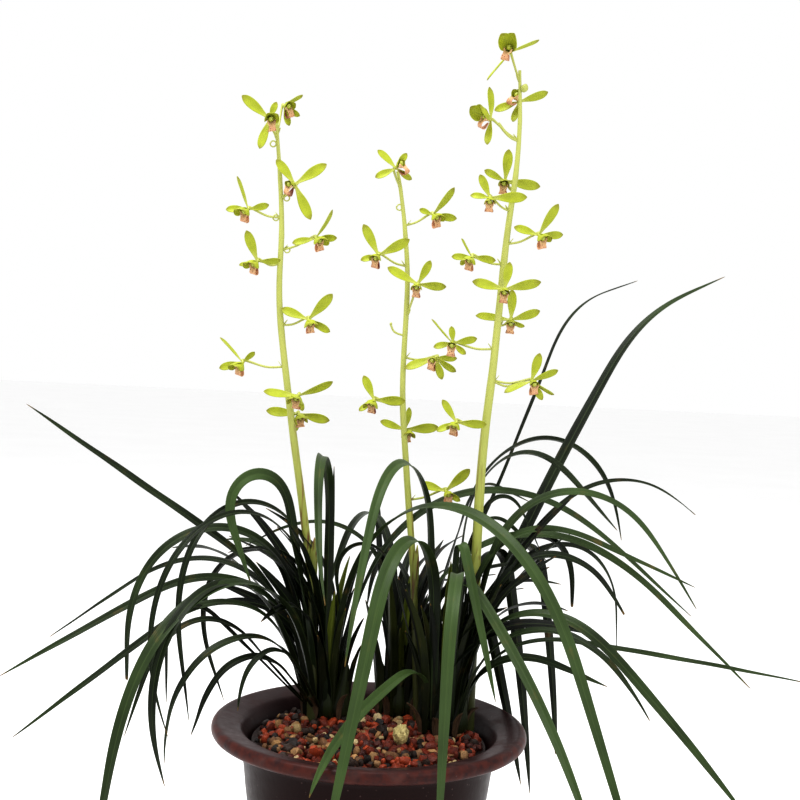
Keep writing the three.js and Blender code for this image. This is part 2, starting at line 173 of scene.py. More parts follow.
class Shader:
    """A material under construction: one Principled shader and the nodes that feed it."""

    def __init__(self, name: str) -> None:
        """Starts an empty material of that name.

        Args:
            name: The material's name.
        """
        self.material = bpy.data.materials.new(name)
        self.material.use_nodes = True
        self.tree = self.material.node_tree
        self.tree.nodes.clear()
        output = self.node("ShaderNodeOutputMaterial")
        self.principled = self.node("ShaderNodeBsdfPrincipled")
        self.tree.links.new(self.principled.outputs[0], output.inputs["Surface"])

    def node(self, kind: str, settings: dict | None = None, inputs: dict | None = None) -> bpy.types.Node:
        """Adds a node.

        Args:
            kind: The node's type name.
            settings: Its own properties, set before its sockets.
            inputs: Socket names or numbers, with a value or a link for each.

        Returns:
            The new node.
        """
        node = self.tree.nodes.new(kind)
        for key, value in (settings or {}).items():
            setattr(node, key, value)
        for key, value in (inputs or {}).items():
            self.feed(node.inputs[key], value)
        return node

    def feed(self, socket: bpy.types.NodeSocket, value: Input) -> None:
        """Links a value to a socket, or sets the socket to a constant.

        Args:
            socket: The socket that takes it.
            value: A value, a socket, a number or a colour.
        """
        if isinstance(value, Value):
            value = value.socket
        if isinstance(value, bpy.types.NodeSocket):
            self.tree.links.new(value, socket)
        elif isinstance(value, (int, float)):
            socket.default_value = value
        else:
            wanted = len(socket.default_value)
            socket.default_value = (*value, 1.0)[:wanted] if len(value) < wanted else tuple(value)

    def uv(self) -> tuple[Value, Value]:
        """The piece's own map: how far across it, and how far along it."""
        split = self.node("ShaderNodeSeparateXYZ", None, {0: self.node("ShaderNodeUVMap").outputs[0]})
        return Value(self, split.outputs[0]), Value(self, split.outputs[1])

    def place(self) -> bpy.types.NodeSocket:
        """The point on the piece, in metres."""
        return self.node("ShaderNodeTexCoord").outputs["Object"]

    def axes(self) -> tuple[Value, Value, Value]:
        """The point on the piece as three values, in metres."""
        split = self.node("ShaderNodeSeparateXYZ", None, {0: self.place()})
        return Value(self, split.outputs[0]), Value(self, split.outputs[1]), Value(self, split.outputs[2])

    def attribute(self, name: str) -> Value:
        """A number that the mesh holds at each of its points."""
        node = self.node("ShaderNodeAttribute", {"attribute_name": name})
        return Value(self, node.outputs["Fac"])

    def vector(self, x: Input, y: Input, z: Input = 0.0) -> bpy.types.NodeSocket:
        """Three values as one vector."""
        return self.node("ShaderNodeCombineXYZ", None, {0: x, 1: y, 2: z}).outputs[0]

    def noise(self, vector: Input, scale: float, detail: float = 2.0, roughness: float = 0.5) -> Value:
        """Smooth noise about 0.5.

        Args:
            vector: Where it is read.
            scale: How many waves fit in one unit of that vector.
            detail: How many finer layers it has.
            roughness: How strong those are.

        Returns:
            The noise.
        """
        node = self.node(
            "ShaderNodeTexNoise",
            None,
            {"Vector": vector, "Scale": scale, "Detail": detail, "Roughness": roughness},
        )
        return Value(self, node.outputs[0])

    def cells(self, vector: Input, scale: float) -> Value:
        """The distance to the nearest of many scattered points."""
        node = self.node("ShaderNodeTexVoronoi", None, {"Vector": vector, "Scale": scale})
        return Value(self, node.outputs["Distance"])

    def blend(self, share: Input, first: Input, second: Input, how: str = "MIX") -> bpy.types.NodeSocket:
        """Mixes two colours.

        Args:
            share: The second colour's share.
            first: The first colour.
            second: The second colour.
            how: The way they are blended, such as MIX or MULTIPLY.

        Returns:
            The mixed colour.
        """
        node = self.node("ShaderNodeMix", {"data_type": "RGBA", "blend_type": how})
        self.feed(node.inputs[0], share)
        self.feed(node.inputs[6], first)
        self.feed(node.inputs[7], second)
        return node.outputs[2]

    def shade(self, colour: Input, brightness: Value) -> bpy.types.NodeSocket:
        """A colour made lighter or darker by a value about 1."""
        grey = self.node("ShaderNodeCombineColor", None, {0: brightness, 1: brightness, 2: brightness})
        return self.blend(1.0, colour, grey.outputs[0], "MULTIPLY")

    def bump(self, height: Value, distance: float) -> bpy.types.NodeSocket:
        """Small relief by a height about 0 to 1, at that distance in metres for each whole 1."""
        return self.node("ShaderNodeBump", None, {"Height": height, "Distance": distance}).outputs[0]

    def finish(self, **inputs: Input) -> bpy.types.Material:
        """Feeds the Principled shader, with _ for the spaces in its socket names.

        Args:
            inputs: A value, a link or a constant for each socket.

        Returns:
            The material.
        """
        for key, value in inputs.items():
            self.feed(self.principled.inputs[key.replace("_", " ")], value)
        return self.material


@dataclass(frozen=True)
class LeafFinish:
    """Satin leaf skin: fine parallel veins, a paler midrib, uneven colour and browned tips.

    The mesh's map runs across and along the blade, and its "tone" runs from 0, painted shade, to 1, painted
    light.
    """

    name: str
    # The first two colours are painted shade and painted light: the near-black green where tone is 0 and
    # the pale one where it is 1.
    shaded_green: Colour
    light: Colour
    rib: Colour
    dry: Colour = srgb(120, 92, 48)
    veins: float = 24.0
    roughness: float = 0.40
    rib_strength: float = 0.55

    def material(self) -> bpy.types.Material:
        """Builds the material.

        Returns:
            The material.
        """
        shader = Shader(self.name)
        across, along = shader.uv()
        place = shader.place()
        streaks = shader.noise(shader.vector(across * self.veins, along * 2.5), 1.0, 3.0, 0.6)
        fine = shader.noise(shader.vector(across * (2.6 * self.veins), along * 4.0), 1.0, 1.0)
        patches = shader.noise(place, 26.0, 2.0)
        tone = shader.attribute("tone") + (patches - 0.5) * 0.5
        # Painted shade and painted light: the colour goes from the dark green to the light one by the tone.
        colour = shader.blend(tone.clear(0.0, 1.0), self.shaded_green, self.light)
        colour = shader.shade(colour, 0.42 + streaks * 0.80 + fine * 0.34)
        middle = (across - 0.5).absolute()
        rib = (1.0 - middle.clear(0.0, 0.045)) * self.rib_strength
        colour = shader.blend(rib, colour, self.rib)
        edge = middle.clear(0.47, 0.5) * 0.35
        colour = shader.blend(edge, colour, self.rib)
        rust = (shader.noise(place, 60.0, 3.0) * 0.6 + streaks * 0.4).clear(0.58, 0.70) * 0.4
        colour = shader.blend(rust, colour, self.dry)
        tip = (along + (patches - 0.5) * 0.05).clear(0.975, 0.995) * 0.8
        colour = shader.blend(tip, colour, self.dry)
        gloss = self.roughness + (streaks - 0.5) * 0.25 + tip * 0.25
        relief = streaks * 0.6 + fine * 0.4 - rib * 0.8
        return shader.finish(
            Base_Color=colour,
            Roughness=gloss,
            Specular_IOR_Level=0.2,
            Normal=shader.bump(relief, 0.00014),
        )


@dataclass(frozen=True)
class PetalFinish:
    """Soft, slightly glassy petal: pale at its foot, greener outwards, with a few long veins."""

    name: str
    foot: Colour
    body: Colour
    tip: Colour
    vein: Colour

    def material(self) -> bpy.types.Material:
        """Builds the material.

        Returns:
            The material.
        """
        shader = Shader(self.name)
        across, along = shader.uv()
        place = shader.place()
        patches = shader.noise(place, 240.0, 2.0)
        colour = shader.blend((along + (patches - 0.5) * 0.3).clear(0.02, 0.42), self.foot, self.body)
        colour = shader.blend((along + (patches - 0.5) * 0.25).clear(0.80, 1.02) * 0.75, colour, self.tip)
        lines = shader.noise(shader.vector(across * 11.0, along * 1.4), 1.0, 2.0, 0.6)
        colour = shader.blend(lines.clear(0.52, 0.70) * 0.38, colour, self.vein)
        colour = shader.shade(colour, 0.86 + patches * 0.28)
        return shader.finish(
            Base_Color=colour,
            Roughness=0.46 + (lines - 0.5) * 0.2,
            Specular_IOR_Level=0.35,
            Normal=shader.bump(lines + patches * 0.5, 0.00010),
        )


@dataclass(frozen=True)
class LipFinish:
    """The lip's pinkish cream skin with brown-red spots and a stained tip."""

    name: str
    cream: Colour
    blush: Colour
    spot: Colour

    def material(self) -> bpy.types.Material:
        """Builds the material.

        Returns:
            The material.
        """
        shader = Shader(self.name)
        across, along = shader.uv()
        place = shader.place()
        wobble = shader.noise(place, 420.0, 2.0)
        colour = shader.blend((along + (wobble - 0.5) * 0.5).clear(0.15, 0.75), self.cream, self.blush)
        spots = 1.0 - (shader.cells(place, 620.0) + (wobble - 0.5) * 0.3).clear(0.16, 0.30)
        colour = shader.blend(spots * 0.85, colour, self.spot)
        stain = (along + (across - 0.5).absolute() * 0.4 + (wobble - 0.5) * 0.4).clear(0.72, 1.0)
        colour = shader.blend(stain * shader.attribute("tone"), colour, self.spot)
        return shader.finish(
            Base_Color=colour,
            Roughness=0.5 + (wobble - 0.5) * 0.2,
            Normal=shader.bump(wobble, 0.00015),
        )


@dataclass(frozen=True)
class StemFinish:
    """Smooth pale stem, streaked red-brown low down, and painted dark as shade where it leaves the leaves.
    """

    name: str
    pale: Colour
    green: Colour
    streak: Colour
    shaded_base: Colour
    base_height: float

    def material(self) -> bpy.types.Material:
        """Builds the material.

        Returns:
            The material.
        """
        shader = Shader(self.name)
        x, y, z = shader.axes()
        place = shader.place()
        patches = shader.noise(place, 30.0, 3.0)
        high = z + (patches - 0.5) * 0.06
        low = 1.0 - high.clear(self.base_height, self.base_height + 0.16)
        colour = shader.blend(low * 0.7 + (patches - 0.5) * 0.3, self.pale, self.green)
        grain = shader.noise(shader.vector(x * 380.0, y * 380.0, z * 14.0), 1.0, 2.0, 0.5)
        marks = grain.clear(0.54, 0.66) * (low * 0.8 + 0.05)
        colour = shader.blend(marks, colour, self.streak)
        # Painted shade: the stem goes dark green low down, where it stands among the leaves.
        foot = 1.0 - high.clear(self.base_height - 0.05, self.base_height + 0.03)
        colour = shader.blend(foot * 0.9, colour, self.shaded_base)
        colour = shader.shade(colour, 0.88 + grain * 0.24)
        return shader.finish(
            Base_Color=colour,
            Roughness=0.42 + (grain - 0.5) * 0.2,
            Specular_IOR_Level=0.4,
            Normal=shader.bump(grain, 0.00012),
        )


@dataclass(frozen=True)
class GlazeFinish:
    """Dark iron glaze: brown-purple body, greyer rim, lip redder by wear and by a painted highlight."""

    name: str
    body: Colour
    rim: Colour
    lip: Colour
    fleck: Colour
    rim_height: float
    lip_radius: float

    def material(self) -> bpy.types.Material:
        """Builds the material.

        Returns:
            The material.
        """
        shader = Shader(self.name)
        x, y, z = shader.axes()
        place = shader.place()
        radius = (x * x + y * y).power(0.5)
        clouds = shader.noise(place, 16.0, 4.0, 0.6)
        mottle = shader.noise(place, 120.0, 4.0, 0.65)
        runs = shader.noise(shader.vector(x * 70.0, y * 70.0, z * 9.0), 1.0, 3.0, 0.6)
        up = (z + (clouds - 0.5) * 0.006).clear(self.rim_height - 0.016, self.rim_height - 0.006)
        colour = shader.blend(up, self.body, self.rim)
        # Redder along the lip's outer edge: partly wear and partly a painted highlight.
        edge = (radius + (clouds - 0.5) * 0.004).clear(self.lip_radius - 0.006, self.lip_radius - 0.001)
        low_lip = z.clear(self.rim_height - 0.014, self.rim_height - 0.008)
        colour = shader.blend(edge * low_lip * mottle.clear(0.30, 0.62) * 0.8, colour, self.lip)
        colour = shader.shade(colour, 0.55 + clouds * 0.45 + mottle * 0.25 + runs * 0.2)
        specks = 1.0 - (shader.cells(place, 210.0) + (mottle - 0.5) * 0.5).clear(0.05, 0.12)
        colour = shader.blend(specks * 0.35, colour, self.fleck)
        dust = (shader.noise(place, 45.0, 3.0).clear(0.52, 0.75)) * up
        colour = shader.blend(dust * 0.22, colour, self.fleck)
        return shader.finish(
            Base_Color=colour,
            Roughness=0.34 + (mottle - 0.5) * 0.30 + dust * 0.25,
            Specular_IOR_Level=0.09,
            Coat_Weight=0.04 * (1.0 - dust),
            Coat_Roughness=0.2,
            Normal=shader.bump(clouds * 0.5 + mottle * 0.35 + runs * 0.4, 0.00035),
        )


@dataclass(frozen=True)
class StoneFinish:
    """Damp stone: two colours by each stone's own tone, grainy skin, pits in painted shade, some wet shine.
    """

    name: str
    first: Colour
    second: Colour
    wet: float = 0.35

    def material(self) -> bpy.types.Material:
        """Builds the material.

        Returns:
            The material.
        """
        shader = Shader(self.name)
        place = shader.place()
        grain = shader.noise(place, 900.0, 4.0, 0.7)
        blotch = shader.noise(place, 260.0, 2.0)
        tone = shader.attribute("tone") + (blotch - 0.5) * 0.7
        colour = shader.blend(tone.clear(0.0, 1.0), self.first, self.second)
        colour = shader.shade(colour, 0.36 + grain * 0.70 + blotch * 0.40)
        # The pits are darkened: painted shade in them.
        shaded_pits = 1.0 - shader.cells(place, 900.0).clear(0.10, 0.30)
        colour = shader.shade(colour, 1.0 - shaded_pits * 0.35)
        return shader.finish(
            Base_Color=colour,
            Roughness=(0.72 - self.wet * 0.6) + (grain - 0.5) * 0.5,
            Specular_IOR_Level=0.4,
            Normal=shader.bump(grain * 0.7 + blotch * 0.8 - shaded_pits * 0.5, 0.0006),
        )


@dataclass(frozen=True)
class PaperFinish:
    """Dry papery sheath with long fibres."""

    name: str
    pale: Colour
    dark: Colour

    def material(self) -> bpy.types.Material:
        """Builds the material.

        Returns:
            The material.
        """
        shader = Shader(self.name)
        across, along = shader.uv()
        fibres = shader.noise(shader.vector(across * 30.0, along * 2.0), 1.0, 4.0, 0.7)
        patches = shader.noise(shader.place(), 90.0, 3.0)
        colour = shader.blend(fibres.clear(0.35, 0.65), self.dark, self.pale)
        colour = shader.shade(colour, 0.6 + patches * 0.7)
        return shader.finish(
            Base_Color=colour,
            Roughness=0.66 + (fibres - 0.5) * 0.2,
            Normal=shader.bump(fibres + patches * 0.5, 0.0003),
        )


@dataclass(frozen=True)
class FloorFinish:
    """Plain pale studio floor with a barely uneven surface."""

    name: str
    colour: Colour

    def material(self) -> bpy.types.Material:
        """Builds the material.

        Returns:
            The material.
        """
        shader = Shader(self.name)
        uneven = shader.noise(shader.place(), 3.0, 2.0)
        return shader.finish(
            Base_Color=shader.shade(self.colour, 0.98 + uneven * 0.04),
            Roughness=0.85 + uneven * 0.1,
        )


# ---------------------------------------------------------------- modelling helpers


def deselect() -> None:
    """Leaves nothing selected, in object mode."""
    if bpy.context.object and bpy.context.object.mode != "OBJECT":
        bpy.ops.object.mode_set(mode="OBJECT")
    bpy.ops.object.select_all(action="DESELECT")


def pick(piece: bpy.types.Object) -> None:
    """Makes a piece the only selected one, and the active one.

    Args:
        piece: The piece.
    """
    deselect()
    piece.select_set(True)
    bpy.context.view_layer.objects.active = piece


@contextmanager
def editing(piece: bpy.types.Object) -> Iterator[None]:
    """Edit mode on one piece, with nothing selected in its mesh.

    Args:
        piece: The piece.

    Yields:
        Nothing; the piece stays in edit mode meanwhile.
    """
    pick(piece)
    bpy.ops.object.mode_set(mode="EDIT")
    bpy.ops.mesh.select_all(action="DESELECT")
    try:
        yield
    finally:
        bpy.ops.object.mode_set(mode="OBJECT")


def added(name: str) -> bpy.types.Object:
    """Names the primitive that an operator has just added.

    Args:
        name: Its name.

    Returns:
        The piece.
    """
    piece = bpy.context.object
    piece.name = name
    piece.data.name = name
    return piece


def apply_place(piece: bpy.types.Object) -> None:
    """Moves a piece's place, turn and scale into its mesh."""
    pick(piece)
    bpy.ops.object.transform_apply(location=True, rotation=True, scale=True)


def apply_modifier(piece: bpy.types.Object, kind: str, **settings: object) -> None:
    """Adds a modifier to a piece and applies it at once.

    Args:
        piece: The piece.
        kind: The modifier's type.
        settings: Its own properties.
    """
    pick(piece)
    modifier = piece.modifiers.new(kind.title(), kind)
    for key, value in settings.items():
        setattr(modifier, key, value)
    bpy.ops.object.modifier_apply(modifier=modifier.name)


def shade(piece: bpy.types.Object, angle: float | None = None) -> None:
    """Shades a piece smooth.

    Args:
        piece: The piece.
        angle: The angle from which edges stay sharp, or None to smooth them all.
    """
    pick(piece)
    if angle is None:
        bpy.ops.object.shade_smooth()
    else:
        bpy.ops.object.shade_smooth_by_angle(angle=math.radians(angle))


def set_tone(mesh: bpy.types.Mesh, tone: float) -> None:
    """Gives every point of a mesh the same tone."""
    layer = mesh.attributes.get("tone") or mesh.attributes.new("tone", "FLOAT", "POINT")
    layer.data.foreach_set("value", [tone] * len(mesh.vertices))


def grid(name: str, across: int, along: int, place: Callable[[float, float], Vector]) -> bpy.types.Object:
    """A grid primitive whose points are moved to a shape.

    Args:
        name: The piece's name.
        across: Faces across it.
        along: Faces along it.
        place: Gives a point for a share of the length and a side from -1 to 1.

    Returns:
        The shaped piece, with its map across and along it.
    """
    deselect()
    bpy.ops.mesh.primitive_grid_add(x_subdivisions=across, y_subdivisions=along, size=2, calc_uvs=True)
    piece = added(name)
    for vertex in piece.data.vertices:
        side, share = vertex.co.x, (vertex.co.y + 1) / 2
        vertex.co = place(min(1.0, max(0.0, share)), side)
    return piece


def thicken(piece: bpy.types.Object, thickness: float, smooth_levels: int = 1) -> None:
    """Turns a one-sided sheet into a closed, smooth one.

    Args:
        piece: The sheet.
        thickness: Its new thickness, in metres.
        smooth_levels: How often its faces are split to round it.
    """
    apply_modifier(piece, "SOLIDIFY", thickness=thickness, offset=0.0)
    if smooth_levels:
        apply_modifier(piece, "SUBSURF", levels=smooth_levels, render_levels=smooth_levels)
    shade(piece)


def tube(name: str, points: Sequence[Vector], radii: Sequence[float], sides: int = 4) -> bpy.types.Object:
    """A round stem through points, with a radius at each of them.

    Args:
        name: The piece's name.
        points: The route, in metres.
        radii: The radius at each point, in metres.
        sides: The bevel resolution of the section.

    Returns:
        The stem as a closed mesh.
    """
    curve = bpy.data.curves.new(name, "CURVE")
    curve.dimensions = "3D"
    curve.bevel_depth = 1.0
    curve.bevel_resolution = sides
    curve.use_fill_caps = True
    spline = curve.splines.new("POLY")
    spline.points.add(len(points) - 1)
    for knot, point, radius in zip(spline.points, points, radii):
        knot.co = (*point, 1.0)
        knot.radius = radius
    piece = bpy.data.objects.new(name, curve)
    bpy.context.scene.collection.objects.link(piece)
    pick(piece)
    bpy.ops.object.convert(target="MESH")
    with editing(bpy.context.object):
        bpy.ops.mesh.select_all(action="SELECT")
        bpy.ops.mesh.remove_doubles(threshold=1e-6)
        bpy.ops.mesh.normals_make_consistent(inside=False)
    piece = added(name)
    shade(piece, 50)
    return piece


def turned(name: str, outline: Sequence[Point], sides: int) -> bpy.types.Object:
    """A round closed shape, extruded ring by ring along an outline.

    Args:
        name: The piece's name.
        outline: The radius and the height of each ring, in millimetres, from the foot on.
        sides: How many sides each ring has.

    Returns:
        The shape, closed at its first and its last ring.
    """
    radius, height = outline[0]
    deselect()
    bpy.ops.mesh.primitive_circle_add(
        vertices=sides, radius=radius * MM, fill_type="NGON", location=(0, 0, height * MM)
    )
    piece = added(name)
    apply_place(piece)
    with editing(piece):
        bpy.ops.mesh.select_all(action="SELECT")
        for next_radius, next_height in outline[1:]:
            bpy.ops.mesh.extrude_region_move()
            bpy.ops.transform.translate(value=(0, 0, (next_height - height) * MM))
            share = next_radius / radius
            bpy.ops.transform.resize(value=(share, share, 1), center_override=(0, 0, 0))
            radius, height = next_radius, next_height
        bpy.ops.mesh.select_all(action="SELECT")
        bpy.ops.mesh.normals_make_consistent(inside=False)
    return piece


def smooth_route(points: Sequence[Vector], steps: int) -> list[Vector]:
    """A soft curve through points, as many short steps.

    Args:
        points: The points that the curve goes through.
        steps: Steps between each two of them.

    Returns:
        The curve's points, the last one included.
    """
    ends = [2 * points[0] - points[1], *points, 2 * points[-1] - points[-2]]
    route: list[Vector] = []
    for before, start, end, after in zip(ends, ends[1:], ends[2:], ends[3:]):
        for step in range(steps):
            t = step / steps
            route.append(
                0.5
                * (
                    2 * start
                    + (end - before) * t
                    + (2 * before - 5 * start + 4 * end - after) * t * t
                    + (3 * start - before - 3 * end + after) * t * t * t
                )
            )
    route.append(points[-1].copy())
    return route


def joined(name: str, parts: Sequence[bpy.types.Object]) -> bpy.types.Object:
    """Joins pieces into one of that name.

    Args:
        name: The joined piece's name.
        parts: The pieces.

    Returns:
        The joined piece.
    """
    deselect()
    for part in parts:
        part.select_set(True)
    bpy.context.view_layer.objects.active = parts[0]
    if len(parts) > 1:
        bpy.ops.object.join()
    return added(name)


def copied(source: bpy.types.Object, name: str, pose: Matrix, bend: float = 0.0) -> bpy.types.Object:
    """A copy of a piece with its own mesh, bent along its +X length and then posed.

    Args:
        source: The piece to copy; it stays as it is.
        name: The copy's name.
        pose: Where the copy goes, as a matrix that is put into its mesh.
        bend: How far its far end lifts towards +Z, as a share of the length squared.

    Returns:
        The copy.
    """
    mesh = source.data.copy()
    if bend:
        for vertex in mesh.vertices:
            vertex.co.z += bend * vertex.co.x * abs(vertex.co.x) / (24 * MM)
    mesh.transform(pose)
    piece = bpy.data.objects.new(name, mesh)
    bpy.context.scene.collection.objects.link(piece)
    return piece


def discard(*pieces: bpy.types.Object) -> None:
    """Removes pieces that were only models for copies."""
    for piece in pieces:
        bpy.data.objects.remove(piece)


def dress(
    piece: bpy.types.Object, slot: str, *materials: bpy.types.Material, nodes: Sequence[str] = ()
) -> None:
    """Finishes a piece: its materials, its body and the frame nodes that it stands for, and logs its slot.

    Args:
        piece: The piece.
        slot: The name of the slot that its material belongs to, which is only logged.
        materials: Its materials, or none to keep those it has.
        nodes: The frame nodes it replaces.
    """
    if materials:
        piece.data.materials.clear()
        for material in materials:
            piece.data.materials.append(material)
    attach(piece, "root")
    if nodes:
        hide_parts(*nodes)
    log.info("%s: %d faces, slot %s", piece.name, len(piece.data.polygons), slot)


# ---------------------------------------------------------------- pot


def arc(start: Point, corner: Point, end: Point, steps: int) -> list[Point]:
    """A round stretch of an outline.

    Args:
        start: Where it starts.
        corner: The corner that it bends towards.
        end: Where it ends.
        steps: How many points it has.

    Returns:
        Its points, without the start.
    """
    points = []
    for step in range(1, steps + 1):
        t = step / steps
        points.append(
            tuple((1 - t) ** 2 * a + 2 * t * (1 - t) * b + t * t * c for a, b, c in zip(start, corner, end))
        )
    return points


@dataclass
class Pot:
    """The wide-rimmed glazed pot, turned as one wall with a rolled rim."""

    mouth_radius: float = 97
    neck_radius: float = 97
    base_radius: float = 74
    foot_round: float = 3
    shoulder_drop: float = 8
    rim_depth: float = 13
    rim_crown: float = 0.6
    mouth_depth: float = 26
    wall: float = 7
    wall_steps: int = 24
    throwing_ring: float = 0.12
    floor: float = 9
    floor_round: float = 4
    drain_radius: float = 6
    drain_ring: float = 34
    drain_holes: int = 3
    sides: int = 144
    height: float = 0.0
    rim_radius: float = 0.0

    def __post_init__(self) -> None:
        """Reads the outer size from the frame."""
        low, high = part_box("pot")
        self.height = round(high.z / MM, 1) + self.rim_crown
        self.rim_radius = round((high.x - low.x) / 2 / MM, 1)

    def inside_radius(self, height: float) -> float:
        """The inside wall's radius at a height, below the mouth."""
        share = height / (self.height - self.rim_depth)
        return mix(self.base_radius, self.neck_radius, share) - self.wall

    def outline(self) -> list[Point]:
        """The wall's outline, from the foot round the rim to the floor inside.

        Returns:
            The radius and the height of each ring.
        """
        top, rim, mouth, neck = self.height, self.rim_radius, self.mouth_radius, self.neck_radius
        under = top - self.rim_depth
        points = [(self.base_radius - self.foot_round, 0.0)]
        points += arc(points[-1], (self.base_radius, 0.0), (self.base_radius + 0.4, self.foot_round), 4)
        foot, shoulder = points[-1], (neck - 0.6, under - self.shoulder_drop)
        for step in range(1, self.wall_steps + 1):
            share = step / self.wall_steps
            ring = self.throwing_ring * math.sin(share * 40)
            points.append((mix(foot[0], shoulder[0], share) + ring, mix(foot[1], shoulder[1], share)))
        bend = top - self.mouth_depth
        inner = self.inside_radius(bend)
        under_rim = ((neck + 1, under), (rim - 8, under + 1), 8)
        rim_edge = ((rim + 0.5, under + 2.5), (rim, top - 5), 8)
        rim_roll = ((rim - 0.5, top + 1), (rim - 7, top - 0.6), 8)
        rim_dish = ((mouth + 6, top - 2.5), (mouth + 2, top - 4), 6)
        mouth_edge = ((mouth, top - 5), (mouth - 1.5, top - 9), 6)
        throat = ((inner + 1, bend + 8), (inner, bend), 5)
        for corner, end, steps in (under_rim, rim_edge, rim_roll, rim_dish, mouth_edge, throat):
            points += arc(points[-1], corner, end, steps)
        for step in range(1, 9):
            height = mix(bend, self.floor + self.floor_round, step / 8)
            points.append((self.inside_radius(height), height))
        inner = self.inside_radius(self.floor)
        points += arc(points[-1], (inner, self.floor), (inner - self.floor_round, self.floor), 4)
        return points

    def build(self) -> None:
        """Turns the pot, drills its drain holes and glazes it."""
        piece = turned("pot_body", self.outline(), self.sides)
        for hole in range(self.drain_holes):
            angle = math.radians(90 + 360 / self.drain_holes * hole)
            out = self.drain_ring * MM
            deselect()
            bpy.ops.mesh.primitive_cylinder_add(
                vertices=40,
                radius=self.drain_radius * MM,
                depth=0.04,
                location=(out * math.cos(angle), out * math.sin(angle), 0),
            )
            drill = added("drill")
            apply_place(drill)
            apply_modifier(piece, "BOOLEAN", object=drill, operation="DIFFERENCE", solver="EXACT")
            discard(drill)
        shade(piece, 35)
        glaze = GlazeFinish(
            "dark_glaze",
            body=srgb(31, 11, 10),
            rim=srgb(56, 37, 37),
            lip=srgb(84, 42, 35),
            fleck=srgb(116, 94, 90),
            rim_height=self.height * MM,
            lip_radius=self.rim_radius * MM,
        )
        dress(piece, "dark_glaze", glaze.material(), nodes=["pot"])


# ---------------------------------------------------------------- gravel


class StoneKind(Enum):
    """The kinds of stone in the mix: how common each is, and its finish."""

    FIRED_CLAY = (0.32, StoneFinish("fired_clay", srgb(122, 46, 24), srgb(176, 78, 42), 0.5))
    RUST_CLAY = (0.24, StoneFinish("rust_clay", srgb(72, 28, 20), srgb(122, 50, 30), 0.45))
    BARK = (0.24, StoneFinish("dark_bark", srgb(24, 16, 13), srgb(62, 44, 34), 0.4))
    TAN_PUMICE = (0.14, StoneFinish("tan_pumice", srgb(124, 90, 60), srgb(176, 138, 92), 0.3))
    CREAM_PUMICE = (0.06, StoneFinish("cream_pumice", srgb(168, 144, 100), srgb(208, 188, 144), 0.3))


